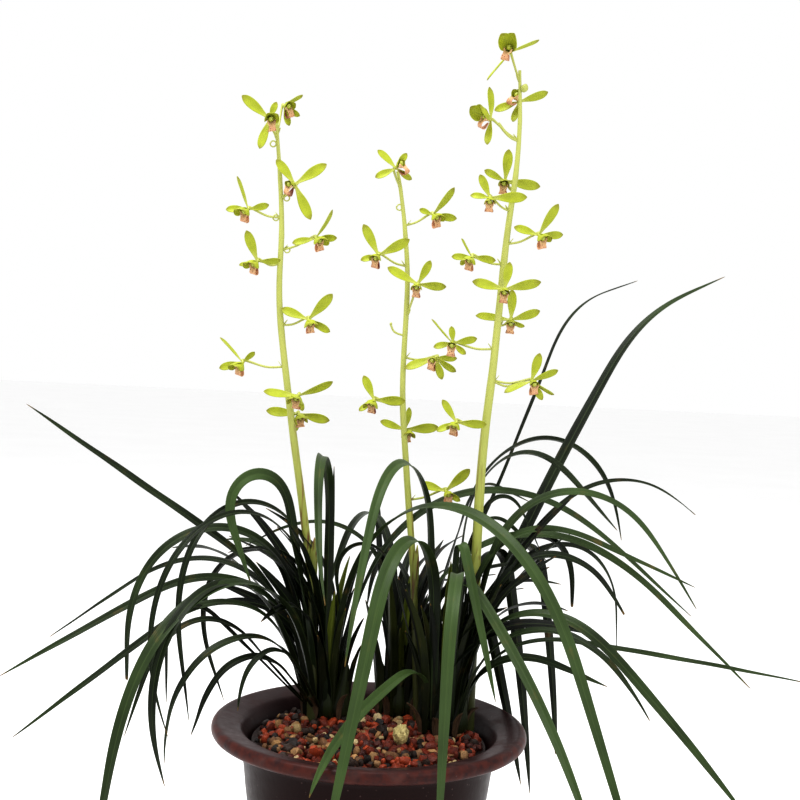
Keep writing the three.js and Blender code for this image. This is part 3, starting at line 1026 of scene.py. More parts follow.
@dataclass
class Gravel:
    """The potting mix: loose stones of several kinds on a bed darkened as painted shade in their gaps."""

    pot: Pot
    spacing: float = 5.8
    smallest: float = 2.5
    largest: float = 5.6
    flattest: float = 0.6
    longest: float = 1.35
    shapes: int = 6
    loose_on_top: int = 130
    bed_sunk: float = 3.2
    bed_gap: float = 0.4
    bed_relief: float = 1.6
    bed_rings: int = 14
    top: float = 0.0
    seed: int = 7

    def __post_init__(self) -> None:
        """Reads the gravel's level from the frame."""
        self.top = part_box("potting_gravel")[1].z / MM

    def build(self) -> None:
        """Makes the bed, the loose stones and the large pumice stone."""
        self._bed()
        self._stones()
        self._pumice()

    def _bed(self) -> None:
        """A tapered plug of soil with an uneven top, sunk a little below the stones and painted dark as
        shade.
        """
        bottom, top = self.pot.floor + self.bed_gap, self.top - self.bed_sunk
        low = self.pot.inside_radius(bottom) - self.pot.floor_round - 0.2
        high = self.pot.inside_radius(top) - self.bed_gap
        deselect()
        bpy.ops.mesh.primitive_cone_add(
            vertices=96,
            radius1=low * MM,
            radius2=high * MM,
            depth=(top - bottom) * MM,
            location=(0, 0, (top + bottom) / 2 * MM),
        )
        piece = added("gravel_bed")
        apply_place(piece)
        with editing(piece):
            bpy.ops.mesh.select_mode(type="FACE")
            mesh = bmesh.from_edit_mesh(piece.data)
            for face in mesh.faces:
                face.select_set(face.normal.z > 0.9)
            for _ in range(self.bed_rings):
                bpy.ops.mesh.inset(thickness=high * MM / (self.bed_rings + 1.5))
        for vertex in piece.data.vertices:
            if vertex.co.z > (top - 1) * MM and vertex.co.xy.length < (high - 2) * MM:
                vertex.co.z += self.bed_relief * MM * noise.noise(vertex.co * 90)
        shade(piece, 40)
        set_tone(piece.data, 0.35)
        # Dark soil colours: the soil's own brown, darkened as painted shade in the gaps between the stones.
        soil = StoneFinish("shaded_damp_soil", srgb(30, 17, 13), srgb(64, 34, 24), 0.3)
        dress(piece, "potting_gravel", soil.material(), nodes=["potting_gravel"])

    def _stone_models(self) -> list[bpy.types.Object]:
        """A few angular stones, to be scaled.

        Returns:
            The models for all the stones.
        """
        models = []
        for index in range(self.shapes):
            deselect()
            bpy.ops.mesh.primitive_cube_add(size=1.5)
            model = added(f"stone_model_{index}")
            apply_modifier(model, "BEVEL", width=0.36, segments=1)
            with editing(model):
                bpy.ops.mesh.select_all(action="SELECT")
                bpy.ops.transform.vertex_random(offset=0.16, uniform=0.2, normal=0.3, seed=11 + index)
            models.append(model)
        return models

    def _stones(self) -> None:
        """Scatters the loose stones, grouped into one piece for each kind."""
        chance = random.Random(self.seed)
        found = self._stone_models()
        models = [[vertex.co.copy() for vertex in model.data.vertices] for model in found]
        faces = [[tuple(polygon.vertices) for polygon in model.data.polygons] for model in found]
        discard(*found)
        kinds = list(StoneKind)
        heaps: dict[StoneKind, tuple[list, list, list]] = {kind: ([], [], []) for kind in kinds}
        for spot, size in self._spots(chance):
            kind = chance.choices(kinds, [k.value[0] for k in kinds])[0]
            points, polygons, tones = heaps[kind]
            shape = chance.randrange(len(models))
            turn = Euler([chance.uniform(0, math.tau) for _ in range(3)]).to_matrix()
            long, wide = chance.uniform(0.8, self.longest), chance.uniform(0.75, 1.1)
            stretch = Vector((long, wide, chance.uniform(self.flattest, 0.95)))
            tone = chance.random()
            first = len(points)
            for corner in models[shape]:
                points.append(spot + turn @ (corner * stretch) * size)
                tones.append(tone)
            polygons.extend(tuple(first + i for i in polygon) for polygon in faces[shape])
        for kind, (points, polygons, tones) in heaps.items():
            mesh = bpy.data.meshes.new(kind.name.lower())
            mesh.from_pydata([p * MM for p in points], [], polygons)
            mesh.attributes.new("tone", "FLOAT", "POINT").data.foreach_set("value", tones)
            piece = bpy.data.objects.new(f"{kind.name.lower()}_stones", mesh)
            bpy.context.scene.collection.objects.link(piece)
            shade(piece, 48)
            dress(piece, "potting_gravel", kind.value[1].material())

    def _spots(self, chance: random.Random) -> Iterator[tuple[Vector, float]]:
        """Where the stones lie and how large they are, row by row, then a few more on top.

        Args:
            chance: The source of the stones' random places and sizes.

        Yields:
            A stone's place and its size, in millimetres.
        """
        reach = self.pot.inside_radius(self.top) - 1.5
        rows = int(reach / self.spacing) + 1
        for row in range(-rows, rows + 1):
            for column in range(-rows, rows + 1):
                x = (column + 0.5 * (row % 2) + chance.uniform(-0.38, 0.38)) * self.spacing
                y = (row * 0.87 + chance.uniform(-0.36, 0.36)) * self.spacing
                size = chance.uniform(self.smallest, self.largest) * chance.choice((0.75, 1, 1, 1.12))
                if math.hypot(x, y) < reach - size:
                    lift = chance.uniform(-2.6, 0.4) + 1.6 * noise.noise(Vector((x, y, 0)) * 0.05)
                    yield Vector((x, y, self.top + lift)), size * 0.92
        for _ in range(self.loose_on_top):
            angle, distance = chance.uniform(0, math.tau), (reach - 6) * math.sqrt(chance.random())
            size = chance.uniform(self.smallest, self.largest)
            x, y = distance * math.cos(angle), distance * math.sin(angle)
            yield Vector((x, y, self.top + chance.uniform(0.8, 2.2))), size

    def _pumice(self) -> None:
        """The one large, long, pale stone, pitted and lumpy."""
        low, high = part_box("pumice_stone")
        middle, half = (low + high) / 2, (high - low) / 2
        deselect()
        bpy.ops.mesh.primitive_ico_sphere_add(subdivisions=5, radius=1)
        piece = added("large_pumice_stone")
        for vertex in piece.data.vertices:
            way = vertex.co.normalized()
            lump = 1 + 0.22 * noise.noise(way * 1.9) + 0.10 * noise.noise(way * 5)
            lump += 0.04 * noise.noise(way * 14)
            vertex.co = middle + Vector(a * b for a, b in zip(way * lump, half * 0.98))
        shade(piece)
        set_tone(piece.data, 0.6)
        pale = StoneFinish("pale_pumice", srgb(168, 150, 88), srgb(222, 208, 150), 0.2)
        dress(piece, "pale_pumice", pale.material(), nodes=["pumice_stone"])


# ---------------------------------------------------------------- shoots and leaves


@dataclass(frozen=True)
class Growth:
    """How one leaf grows: where it leaves its shoot, and how it climbs, bends and falls.

    foot is measured from the middle of the shoot. heading is 0 towards +X and 90 towards +Y, and swings
    sideways by swing. The leaf climbs at rise, bends between the shares start and end of its length, and
    points at fall after that. tone is 0 for the darkest green, painted shade, and 1 for the lightest,
    painted light, by how much light each leaf catches. tip is the share of the
    length at which its outline would close, so a value over 1 leaves the end blunt.
    """

    shoot: str
    foot: Point
    heading: float
    swing: float
    rise: float
    fall: float
    start: float
    end: float
    length: float
    width: float
    tone: float = 0.3
    twist: float = 0.0
    tip: float = 1.0


# The leaves that the frame holds too, in its own order within each shoot.
FRAMED_LEAVES = (
    Growth("left", (-16, 6), 195, 0, 80, 34, 0, 0.52, 335, 9, 0.25),
    Growth("left", (-14, -2), 196, 4, 83, -92, 0.14, 0.96, 330, 9, 0.3, tip=1.06),
    Growth("left", (-8, -5), 243, -50, 76, -110, 0.52, 0.86, 305, 11, 0.75, twist=-74),
    Growth("left", (-19, 2), 190, 16, 87, -28, 0, 0.66, 315, 8, 0.35),
    Growth("left", (-9, -12), 242, -24, 73, -80, 0, 0.8, 425, 11, 0.4),
    Growth("left", (-15, -8), 241, -50, 67, -90, 0, 1, 220, 8, 0.25),
    Growth("left", (-1, -9), 244, 40, 88, -40, 0.32, 0.76, 390, 9, 0.5),
    Growth("left", (6, 3), 5, -6, 79, -40, 0.1, 0.84, 430, 8, 0.5),
    Growth("left", (5, -6), -50, 10, 86, -66, 0.02, 0.76, 550, 11, 0.55),
    Growth("right", (-6, -2), 228, 32, 83, -60, 0.32, 0.78, 405, 9, 0.65),
    Growth("right", (-9, -8), -115, -2, 87, -68, 0.18, 0.6, 420, 12, 0.65),
    Growth("right", (0, -12), -83, -28, 66, -88, 0.22, 0.7, 385, 10, 0.65),
    Growth("right", (8, -9), -36, -42, 89, -40, 0.28, 0.34, 355, 9, 0.6),
    Growth("right", (14, -5), -20, -26, 89, -40, 0, 0.6, 335, 9, 0.4),
    Growth("right", (9, -1), 5, -10, 80, -56, 0.28, 0.88, 355, 8, 0.6),
    Growth("right", (8, 4), 31, 8, 89, -38, 0.32, 0.82, 375, 8, 0.35),
    Growth("right", (4, 9), 50, -38, 59, 26, 0.68, 0.94, 465, 11, 0.4, twist=28),
    Growth("right", (11, 11), 50, 20, 79, -68, 0.22, 0.46, 410, 10, 0.15),
    Growth("rear", (3, 2), 15, 32, 66, 16, 0.66, 0.9, 460, 4, 0.2, twist=10),
    Growth("rear", (6, -3), 28, -12, 73, -78, 0.36, 1, 390, 8, 0.3),
    Growth("rear", (-5, 4), 100, 25, 82, -60, 0.2, 0.8, 330, 9, 0.3),
)

# Further leaves of the same shoots, which only show.
FREE_LEAVES = (
    Growth("left", (-12, 10), 145, -16, 60, -12, 0.06, 1, 240, 9, 0.1),
    Growth("left", (-10, 3), 200, 50, 89, -106, 0.14, 0.9, 400, 6, 0.2),
    Growth("left", (-9, -8), 230, -4, 87, -112, 0.08, 1, 405, 6, 0.2),
    Growth("left", (-15, 9), 165, 0, 81, -36, 0, 0.76, 320, 6, 0.2),
    Growth("left", (-18, -3), 203, 0, 74, -36, 0.06, 0.6, 300, 7, 0.3),
    Growth("left", (-8, 12), 140, 28, 87, -112, 0.08, 0.92, 310, 7, 0.1),
    Growth("left", (-12, -8), 238, -2, 58, -112, 0.16, 1, 340, 9, 0.2),
    Growth("left", (-10, -14), 221, -10, 50, -70, 0.18, 0.9, 155, 7, 0.2),
    Growth("left", (-5, -14), 237, -12, 52, -86, 0.3, 1, 140, 6, 0.2),
    Growth("left", (-2, 0), 82, 16, 88, 80, 0.08, 0.32, 190, 5, 0.2),
    Growth("left", (-7, 4), 164, -16, 73, -10, 0.46, 1, 175, 9, 0.4),
    Growth("left", (-16, -6), 202, -2, 44, -92, 0.48, 0.78, 210, 5, 0.1),
    Growth("left", (-17, -2), 215, -4, 47, -72, 0.28, 0.84, 230, 6, 0.2),
    Growth("left", (3, 7), 53, 12, 68, -62, 0.5, 0.78, 210, 8, 0.1),
    Growth("rear", (-8, 2), 180, 0, 88, -30, 0.26, 0.96, 240, 5, 0.3),
    Growth("right", (-10, 4), 155, 2, 72, -104, 0.46, 0.92, 225, 6, 0.3),
    Growth("rear", (8, 4), 7, 20, 54, -34, 0.42, 1, 355, 5, 0.3),
    Growth("right", (13, 2), -3, 0, 86, -22, 0.26, 0.74, 305, 7, 0.5),
    Growth("rear", (8, -5), -12, -2, 89, -42, 0, 0.8, 400, 8, 0.55),
    Growth("right", (8, 10), 37, -12, 68, -88, 0.44, 0.96, 245, 8, 0.15, tip=1.06),
    Growth("right", (13, 0), -5, 0, 78, -58, 0.32, 0.98, 235, 8, 0.2, tip=1.06),
    Growth("rear", (9, 0), 10, 4, 53, -86, 0.38, 0.92, 305, 6, 0.15),
    Growth("right", (-12, -4), -139, 42, 88, -16, 0.04, 0.3, 225, 9, 0.7),
    Growth("right", (4, -8), -59, -2, 89, -64, 0.5, 0.56, 265, 9, 0.7),
    Growth("right", (13, 5), 40, 14, 83, -68, 0.26, 0.4, 260, 9, 0.1),
    Growth("right", (9, 13), 44, 26, 62, -70, 0.26, 0.56, 395, 9, 0.1, tip=1.05),
    Growth("right", (12, -9), -35, 4, 76, -54, 0, 1, 220, 7, 0.3),
    Growth("right", (15, 1), -3, -20, 75, -4, 0, 0.44, 290, 5, 0.4),
    Growth("right", (14, -7), -14, 0, 80, -18, 0, 0.78, 145, 8, 0.3),
    Growth("right", (10, 6), 21, 4, 87, -40, 0.56, 0.82, 230, 6, 0.3),
    Growth("rear", (7, 0), 29, 14, 72, -20, 0.62, 0.84, 255, 5, 0.3),
    Growth("rear", (9, -4), 6, 2, 71, -62, 0.66, 0.86, 245, 6, 0.3),
    Growth("rear", (0, 6), 116, -24, 61, -46, 0.7, 0.94, 220, 7, 0.1),
    Growth("right", (-4, 8), 115, 0, 58, -78, 0.38, 1, 225, 8, 0.1),
)


@dataclass
class Station:
    """A stop along a leaf: its point in metres, and the ways across and up from the blade."""

    point: Vector
    across: Vector
    up: Vector


# A shoot's bulbs: how far each stands sideways and back, its size, and how many degrees it leans.
BULBS = ((0, 0, 1, 0), (-10, 3, 0.8, -8), (10, -2, 0.8, 8))

# The radius and the height of a bulb's rings.
BULB_OUTLINE = (
    (7.5, 0),
    (10.6, 5),
    (11.6, 9),
    (10.6, 15),
    (8.6, 22),
    (7.0, 29),
    (5.8, 38),
    (4.2, 47),
    (1.2, 55),
)


@dataclass
class Shoot:
    """One clump: its bulbs, the sheaths round them, and the roots of its leaves."""

    name: str
    lean: float
    sheaths: int = 15
    husks: int = 4
    inner_leaves: int = 14
    root_height: float = 12
    sheath_depth: float = 11
    middle: Vector = field(default_factory=Vector)

    def __post_init__(self) -> None:
        """Reads the clump's place from the frame."""
        low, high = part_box(f"{self.name}_shoot")
        self.middle = Vector(((low.x + high.x) / 2, (low.y + high.y) / 2, low.z)) / MM

    def root(self, foot: Point) -> Vector:
        """Where a leaf with that foot starts, in millimetres."""
        return Vector((self.middle.x + foot[0], self.middle.y + foot[1], self.middle.z + self.root_height))

    def build(self, skins: dict[str, bpy.types.Material]) -> None:
        """Makes the bulbs, the sheathing leaf bases round them and the young leaves inside.

        Args:
            skins: The leaf, sheath and husk materials.
        """
        bulbs = joined(f"{self.name}_bulbs", [self._bulb(*bulb) for bulb in BULBS])
        # The bulbs get nearly the darkest tone: painted shade at the heart of the clump.
        set_tone(bulbs.data, 0.1)
        dress(bulbs, "sheath", skins["sheath"], nodes=[f"{self.name}_shoot"])
        sheaths = [self._sheath(index).blade(16, 6) for index in range(self.sheaths)]
        husks = [self._husk(index).blade(8, 6) for index in range(self.husks)]
        inner = [self._inner_leaf(index).blade(30, 4) for index in range(self.inner_leaves)]
        dress(joined(f"{self.name}_sheaths", sheaths), "sheath", skins["sheath"])
        dress(joined(f"{self.name}_husks", husks), "sheath", skins["husk"])
        dress(joined(f"{self.name}_inner_leaves", inner), "leaf", skins["leaf"])

    def _sheath(self, index: int) -> "Leaf":
        """One clasping leaf sheath in three rings round the bulbs: most painted dark as shade, a few light
        inside.

        Args:
            index: Its number, from 0.

        Returns:
            The leaf base.
        """
        chance = random.Random(f"{self.name} sheath {index}")
        angle = index * 137.5 + chance.uniform(-12, 12)
        turn, ring = math.radians(angle), (13.5, 10.5, 6.5)[index % 3]
        growth = Growth(
            self.name,
            (ring * 1.35 * math.cos(turn), ring * 0.95 * math.sin(turn)),
            heading=angle,
            swing=chance.uniform(-8, 8),
            rise=chance.uniform(84, 90),
            fall=chance.uniform(66, 80),
            start=0.2,
            end=1,
            length=chance.uniform(60, 135),
            width=chance.uniform(10, 14),
            # Most sheaths get a low tone, painted shade at the clump's foot; one in nine, in the inner
            # ring, is light.
            tone=chance.uniform(0.5, 0.9) if index % 9 == 2 else chance.uniform(-0.1, 0.3),
        )
        return Leaf(growth, self, f"{self.name}_sheath_{index}", clasp=1.1, sunk=self.sheath_depth)

    def _husk(self, index: int) -> "Leaf":
        """One short dry husk at the foot of the shoot.

        Args:
            index: Its number, from 0.

        Returns:
            The husk.
        """
        chance = random.Random(f"{self.name} husk {index}")
        angle = 200 + index * 55 + chance.uniform(-15, 15)
        turn = math.radians(angle)
        growth = Growth(
            self.name,
            (19 * math.cos(turn), 14 * math.sin(turn)),
            heading=angle,
            swing=0,
            rise=chance.uniform(72, 88),
            fall=chance.uniform(30, 60),
            start=0.3,
            end=1,
            length=chance.uniform(18, 30),
            width=9,
        )
        return Leaf(growth, self, f"{self.name}_husk_{index}", clasp=0.9, sunk=self.sheath_depth)

    def _inner_leaf(self, index: int) -> "Leaf":
        """One young leaf among the clump, painted dark as shade, which leans the way the clump does.

        Args:
            index: Its number, from 0.

        Returns:
            The leaf.
        """
        chance = random.Random(f"{self.name} inner {index}")
        growth = Growth(
            self.name,
            (chance.uniform(-14, 14), chance.uniform(-9, 12)),
            heading=self.lean + chance.uniform(-50, 50),
            swing=chance.uniform(-20, 20),
            rise=chance.uniform(68, 86),
            fall=chance.uniform(-25, 50),
            start=chance.uniform(0.0, 0.35),
            end=1,
            length=chance.uniform(110, 200),
            width=chance.uniform(9, 12),
            # A low tone: painted shade inside the clump.
            tone=chance.uniform(-0.2, 0.2),
        )
        return Leaf(growth, self, f"{self.name}_inner_{index}")

    def _bulb(self, x: float, y: float, scale: float, lean: float) -> bpy.types.Object:
        """One ribbed bulb.

        Args:
            x: How far it stands sideways from the shoot's middle.
            y: How far it stands back from there.
            scale: Its size.
            lean: How many degrees it leans sideways.

        Returns:
            The bulb.
        """
        place = self.middle + Vector((x, y, 0.2 + abs(lean) * 0.18))
        piece = turned("bulb", BULB_OUTLINE, 36)
        for vertex in piece.data.vertices:
            turn = math.atan2(vertex.co.y, vertex.co.x)
            vertex.co.xy *= 1 + 0.035 * math.sin(9 * turn) + 0.02 * math.sin(5 * turn + 1)
        apply_modifier(piece, "SUBSURF", levels=1, render_levels=1)
        self._map_upright(piece)
        pose = Matrix.Translation(place * MM) @ Matrix.Rotation(math.radians(lean), 4, "Y")
        piece.data.transform(pose @ Matrix.Diagonal((scale, scale * 0.94, scale, 1)))
        shade(piece)
        return piece

    @staticmethod
    def _map_upright(piece: bpy.types.Object) -> None:
        """Maps an upright piece round and up, so that its fibres run upwards.

        Args:
            piece: The piece.
        """
        layer = piece.data.uv_layers.active or piece.data.uv_layers.new(name="UVMap")
        for loop in piece.data.loops:
            point = piece.data.vertices[loop.vertex_index].co
            layer.data[loop.index].uv = (math.atan2(point.y, point.x) * 0.6 + 2, point.z / 0.07)


@dataclass
class Leaf:
    """One strap leaf: a folded, keeled and slightly rippled blade along its growth."""

    growth: Growth
    shoot: Shoot
    name: str
    clasp: float = 0.0
    sunk: float = 0.0
    thickness: float = 0.5
    walks: int = 4
    turn_to_side: float = 44
    foot_fold: float = 0.95
    blade_fold: float = 0.36
    keel: float = 0.35
    foot_width: float = 0.62
    widening: float = 1.3
    taper: float = 4.2
    tip_round: float = 0.8

    def stations(self, steps: int) -> list[Station]:
        """Walks along the leaf in short steps.

        Args:
            steps: How many stretches the blade has.

        Returns:
            The stops at both ends and between the stretches.
        """
        growth = self.growth
        point = self.shoot.root(growth.foot) - Vector((0, 0, self.sunk))
        start = math.radians(growth.heading)
        # Leaves that head to the back turn the other way, so that the face of their hanging half shows.
        twist = growth.twist or self.turn_to_side * math.cos(start) * (-1 if math.sin(start) > 0.3 else 1)
        stops = []
        for step in range(steps * self.walks + 1):
            share = step / (steps * self.walks)
            bent = smoothstep(share, growth.start, growth.end)
            climb = math.radians(mix(growth.rise, growth.fall, bent))
            heading = math.radians(growth.heading + growth.swing * share)
            flat = Vector((math.cos(heading), math.sin(heading), 0))
            along = flat * math.cos(climb) + Vector((0, 0, math.sin(climb)))
            if step % self.walks == 0:
                across = Vector((math.sin(heading), -math.cos(heading), 0))
                up = across.cross(along)
                turn = 0 if self.clasp else math.radians(twist * smoothstep(share, 0.04, 0.5))
                rotation = Matrix.Rotation(turn, 3, along)
                stops.append(Station(point * MM, rotation @ across, rotation @ up))
            point = point + along * (growth.length / (steps * self.walks))
        return stops

    def breadth(self, share: float) -> float:
        """The share of its full width that the blade has at a share of its length."""
        outline = max(0.0, 1 - (share / self.growth.tip) ** self.taper) ** self.tip_round
        return min(1.0, self.foot_width + self.widening * share) * max(0.04, outline)

    def blade(self, steps: int = 46, sides: int = 6) -> bpy.types.Object:
        """Builds the blade as a closed mesh with its map and tone.

        Args:
            steps: Its stretches along it.
            sides: Its faces across it.

        Returns:
            The blade.
        """
        stops = self.stations(steps)
        chance = random.Random(self.name)
        phase, ripple = chance.uniform(0, 6), chance.uniform(0.15, 0.4)

        def place(share: float, side: float) -> Vector:
            """The point at a share of the length, on a side of the midrib.

            Args:
                share: The share of the length.
                side: The side, from -1 to 1.

            Returns:
                The point.
            """
            stop = stops[round(share * steps)]
            half = self.growth.width / 2 * self.breadth(share)
            opened = mix(self.foot_fold, self.blade_fold, smoothstep(share, 0.0, 0.35))
            fold = self.clasp or opened * mix(1, 0.6, share)
            angle = fold * (1 - 0.25 * abs(side))
            out = half * side * math.cos(angle)
            lift = half * abs(side) * math.sin(angle) - self.keel * (1 - abs(side)) ** 2
            lift += ripple * abs(side) * math.sin(share * 34 + phase + (1.3 if side > 0 else 0))
            return stop.point + (stop.across * out + stop.up * lift) * MM

        piece = grid(self.name, sides, steps, place)
        tones = [self.tone(index // (sides + 1) / steps) for index in range(len(piece.data.vertices))]
        piece.data.attributes.new("tone", "FLOAT", "POINT").data.foreach_set("value", tones)
        thicken(piece, self.thickness * MM)
        return piece

    def tone(self, share: float) -> float:
        """The leaf's tone at a share of its length: painted shade on its way up, its own from the bend on.

        Args:
            share: The share of the length.

        Returns:
            The tone.
        """
        growth = self.growth
        # Painted shade on the rising half; the hanging half keeps the leaf's tone, its painted light.
        bend = smoothstep(share, mix(growth.start, growth.end, 0.15), mix(growth.start, growth.end, 0.6))
        return mix(min(growth.tone, 0.3 * growth.tone + 0.05), growth.tone, bend)


@dataclass
class Foliage:
    """All the shoots with their leaves, and the way that each shoot leans."""

    leans: tuple[tuple[str, float], ...] = (("left", 200), ("right", 20), ("rear", 30))
    shoots: dict[str, Shoot] = field(default_factory=dict)

    def build(self) -> None:
        """Makes the shoots, the leaves that the frame holds and the further ones."""
        # Both skins run from a near-black green, painted shade, to a paler green, painted light, by tone.
        leaf = LeafFinish("leaf_skin", srgb(9, 15, 6), srgb(74, 95, 52), srgb(80, 98, 56)).material()
        sheath = LeafFinish(
            "sheath_skin", srgb(12, 18, 7), srgb(112, 124, 44), srgb(56, 66, 32), veins=14, rib_strength=0.1
        ).material()
        husk = PaperFinish("dry_husk", srgb(104, 80, 52), srgb(44, 30, 20)).material()
        for name, lean in self.leans:
            self.shoots[name] = Shoot(name, lean)
            self.shoots[name].build({"leaf": leaf, "sheath": sheath, "husk": husk})
        counts = dict.fromkeys(self.shoots, 0)
        for growth in (*FRAMED_LEAVES, *FREE_LEAVES):
            counts[growth.shoot] += 1
            node = f"{growth.shoot}_leaf_{counts[growth.shoot]}"
            piece = Leaf(growth, self.shoots[growth.shoot], f"{node}_blade").blade()
            dress(piece, "leaf", leaf, nodes=[node] if growth in FRAMED_LEAVES else [])


# ---------------------------------------------------------------- flowers


@dataclass(frozen=True)
class Bloom:
    """One flower of a spike.

    Its stalk leaves the spike at height at and reaches to the flower's middle. Each sepal is given by
    where its tip lies from there, sideways and upwards, and by how far its face is turned from the
    front. lip is where the flower looks: the lip's tip, sideways and upwards. stain is how dark the lip's
    tip is, and hood how large the two petals over the column are.
    """

    at: float
    reach: Place
    sepals: tuple[tuple[float, float, float], ...]
    lip: Point
    stain: float = 0.4
    hood: float = 1.0
    stalks: int = 1


@dataclass(frozen=True)
class SpikePlan:
    """A spike's route from the gravel to its tip, its radius at both ends, and what it carries.

    curls and buds are small side growths, each a height and how far it stands sideways.
    """

    route: tuple[Place, ...]
    radii: tuple[float, float]
    blooms: tuple[Bloom, ...]
    curls: tuple[Point, ...] = ()
    buds: tuple[Point, ...] = ()


SPIKES = {
    "left": SpikePlan(
        route=(
            (-46, 32, 173.3),
            (-49, 35, 265),
            (-59, 37, 332),
            (-74, 38, 418),
            (-86, 38, 500),
            (-87, 38, 560),
            (-90, 38, 600),
            (-95, 38, 645),
        ),
        radii=(3.9, 1.3),
        blooms=(
            Bloom(632, (-6, -9, 13), ((-22, 16, 10), (-6, -24, 20), (5, 13, 0)), (3, -5), 0.3),
            Bloom(637, (4, 8, 22), ((13, 11, 70), (13, -7, 30), (5, -15, 20)), (8, -5), 0.9, 0.8),
            Bloom(585, (11, -9, 10), ((-15, 19, 20), (24, 17, 0), (14, -27, 10)), (-8, -5), 0.9, 0.6),
            Bloom(568, (-26, -3, 5), ((-11, 25, 75), (-18, 0, 15), (16, 4, 15)), (-5, -9), 0.1),
            Bloom(544, (27, -3, 10), ((14, 22, 75), (-18, -5, 20), (17, 1, 15)), (7, -9), 0.2),
            Bloom(530, (-17, -8, 1), ((-10, 23, 15), (-13, -6, 40), (18, 1, 40)), (-5, -10), 0.3),
            Bloom(483, (22, -8, 5), ((18, 21, 15), (-22, 8, 15), (18, -8, 20)), (4, -11), 0.6),
            Bloom(456, (-33, -3, 2), ((-19, 19, 80), (-19, -5, 15), (8, 10, 30)), (-5, -10), 0.1),
            Bloom(428, (8, -12, 4), ((-27, 0, 40), (27, 11, 45), (4, -12, 0)), (-2, -8), 0.6, 1.1),
            Bloom(420, (6, 12, -3), ((-26, 1, 20), (25, -4, 15), (-2, -14, 30)), (3, -9), 0.7),
        ),
        curls=((627, -3.6), (584, 4.4), (567, -4.4), (543, 4.8)),
    ),
    "middle": SpikePlan(
        route=(
            (38, 44, 173.3),
            (30, 46, 286),
            (20, 46, 375),
            (14, 46, 440),
            (14, 46, 520),
            (10, 46, 565),
            (5, 46, 597),
            (2, 46, 611),
        ),
        radii=(3.1, 1.2),
        blooms=(
            Bloom(
                599,
                (-4, -9, 13),
                ((-15, 14, 30), (-16, -8, 10), (13, -8, 30), (8, 12, 0)),
                (9, 4),
                0.5,
                0.6,
            ),
            Bloom(569, (22, -3, 9), ((16, 22, 50), (-11, 4, 0), (19, -2, 15)), (6, -9), 0.2, 0.9),
            Bloom(537, (-23, -8, 7), ((-14, 23, 20), (24, 13, 15), (-14, -5, 15)), (-4, -9), 1.0, 0.8),
            Bloom(502, (8, -11, 24), ((9, 19, 15), (22, -2, 20), (-25, 11, 25)), (-2, -9), 0.5, 0.8),
            Bloom(
                460,
                (25, -8, 1),
                ((-24, -9, 30), (17, 1, 25), (17, -10, 35), (6, -17, 0)),
                (-5, -8),
                0.4,
                0.5,
            ),
            Bloom(429, (-23, -8, 3), ((-9, 19, 10), (25, 1, 15), (-11, -10, 30)), (-3, -10), 1.0),
            Bloom(416, (2, 12, -8), ((3, 18, 35), (-21, 5, 30), (27, 3, 10)), (3, -9), 0.6),
            Bloom(354, (29, -8, 9), ((18, 19, 10), (-20, 5, 15), (12, -7, 20)), (4, -8), 0.1, 0.7),
        ),
        curls=((583, -2.6),),
        buds=((479, -12),),
    ),
    "right": SpikePlan(
        route=(
            (78, 24, 173.3),
            (77, 20, 300),
            (78, 18, 390),
            (83, 16, 465),
            (88, 16, 555),
            (93, 16, 610),
            (94, 16, 650),
            (92, 16, 688),
        ),
        radii=(4.4, 1.1),
        blooms=(
            Bloom(680, (-9, -8, 19), ((20, 12, 80), (-17, -22, 80)), (-3, 1), 0.2, 1.25),
            Bloom(656, (0, 12, 9), ((22, 8, 40), (-19, -8, 15), (-3, -17, 25)), (-6, 6), 0.1, 0.7),
            Bloom(634, (-23, -8, 13), ((-1, 25, 45), (-1, -20, 35)), (-13, -1), 0.2, 1.25, 2),
            Bloom(596, (-6, 11, 9), ((2, 25, 5), (-17, 7, 10), (28, -3, 10)), (-2, -8), 0.7, 0.8),
            Bloom(579, (-17, -11, 8), ((-9, 17, 5), (-15, 2, 20), (28, 2, 10)), (-1, -11), 1.0, 0.8),
            Bloom(553, (24, -8, 7), ((12, 25, 30), (-19, 6, 10), (19, 1, 15)), (5, -9), 0.1, 0.9),
            Bloom(538, (-25, -8, 4), ((-11, 12, 70), (-16, -1, 15), (18, -1, 20)), (-5, -11), 0.4),
            Bloom(511, (2, -12, 8), ((3, 21, 5), (-25, 5, 15), (27, 8, 25)), (-1, -8), 0.8, 0.8),
            Bloom(
                488, (11, 8, 5), ((0, 24, 10), (-28, 2, 40), (22, 8, 20), (10, -6, 40)), (-1, -10), 0.3, 0.7
            ),
            Bloom(
                446,
                (30, -8, 1),
                ((5, 22, 5), (19, 11, 35), (18, -9, 70), (-21, -8, 50), (9, -14, 0)),
                (3, -7),
                0.2,
                0.6,
                2,
            ),
            Bloom(
                473,
                (-33, -8, 3),
                ((-19, 16, 80), (-2, 13, 0), (18, 5, 20), (-15, -3, 20), (10, -8, 15)),
                (-2, -6),
                0.3,
                0.6,
            ),
            Bloom(410, (-23, -8, 3), ((-13, 16, 30), (23, -1, 20), (-15, -8, 30)), (-4, -9), 0.4, 0.9),
        ),
        buds=((674, 2),),
    ),
}


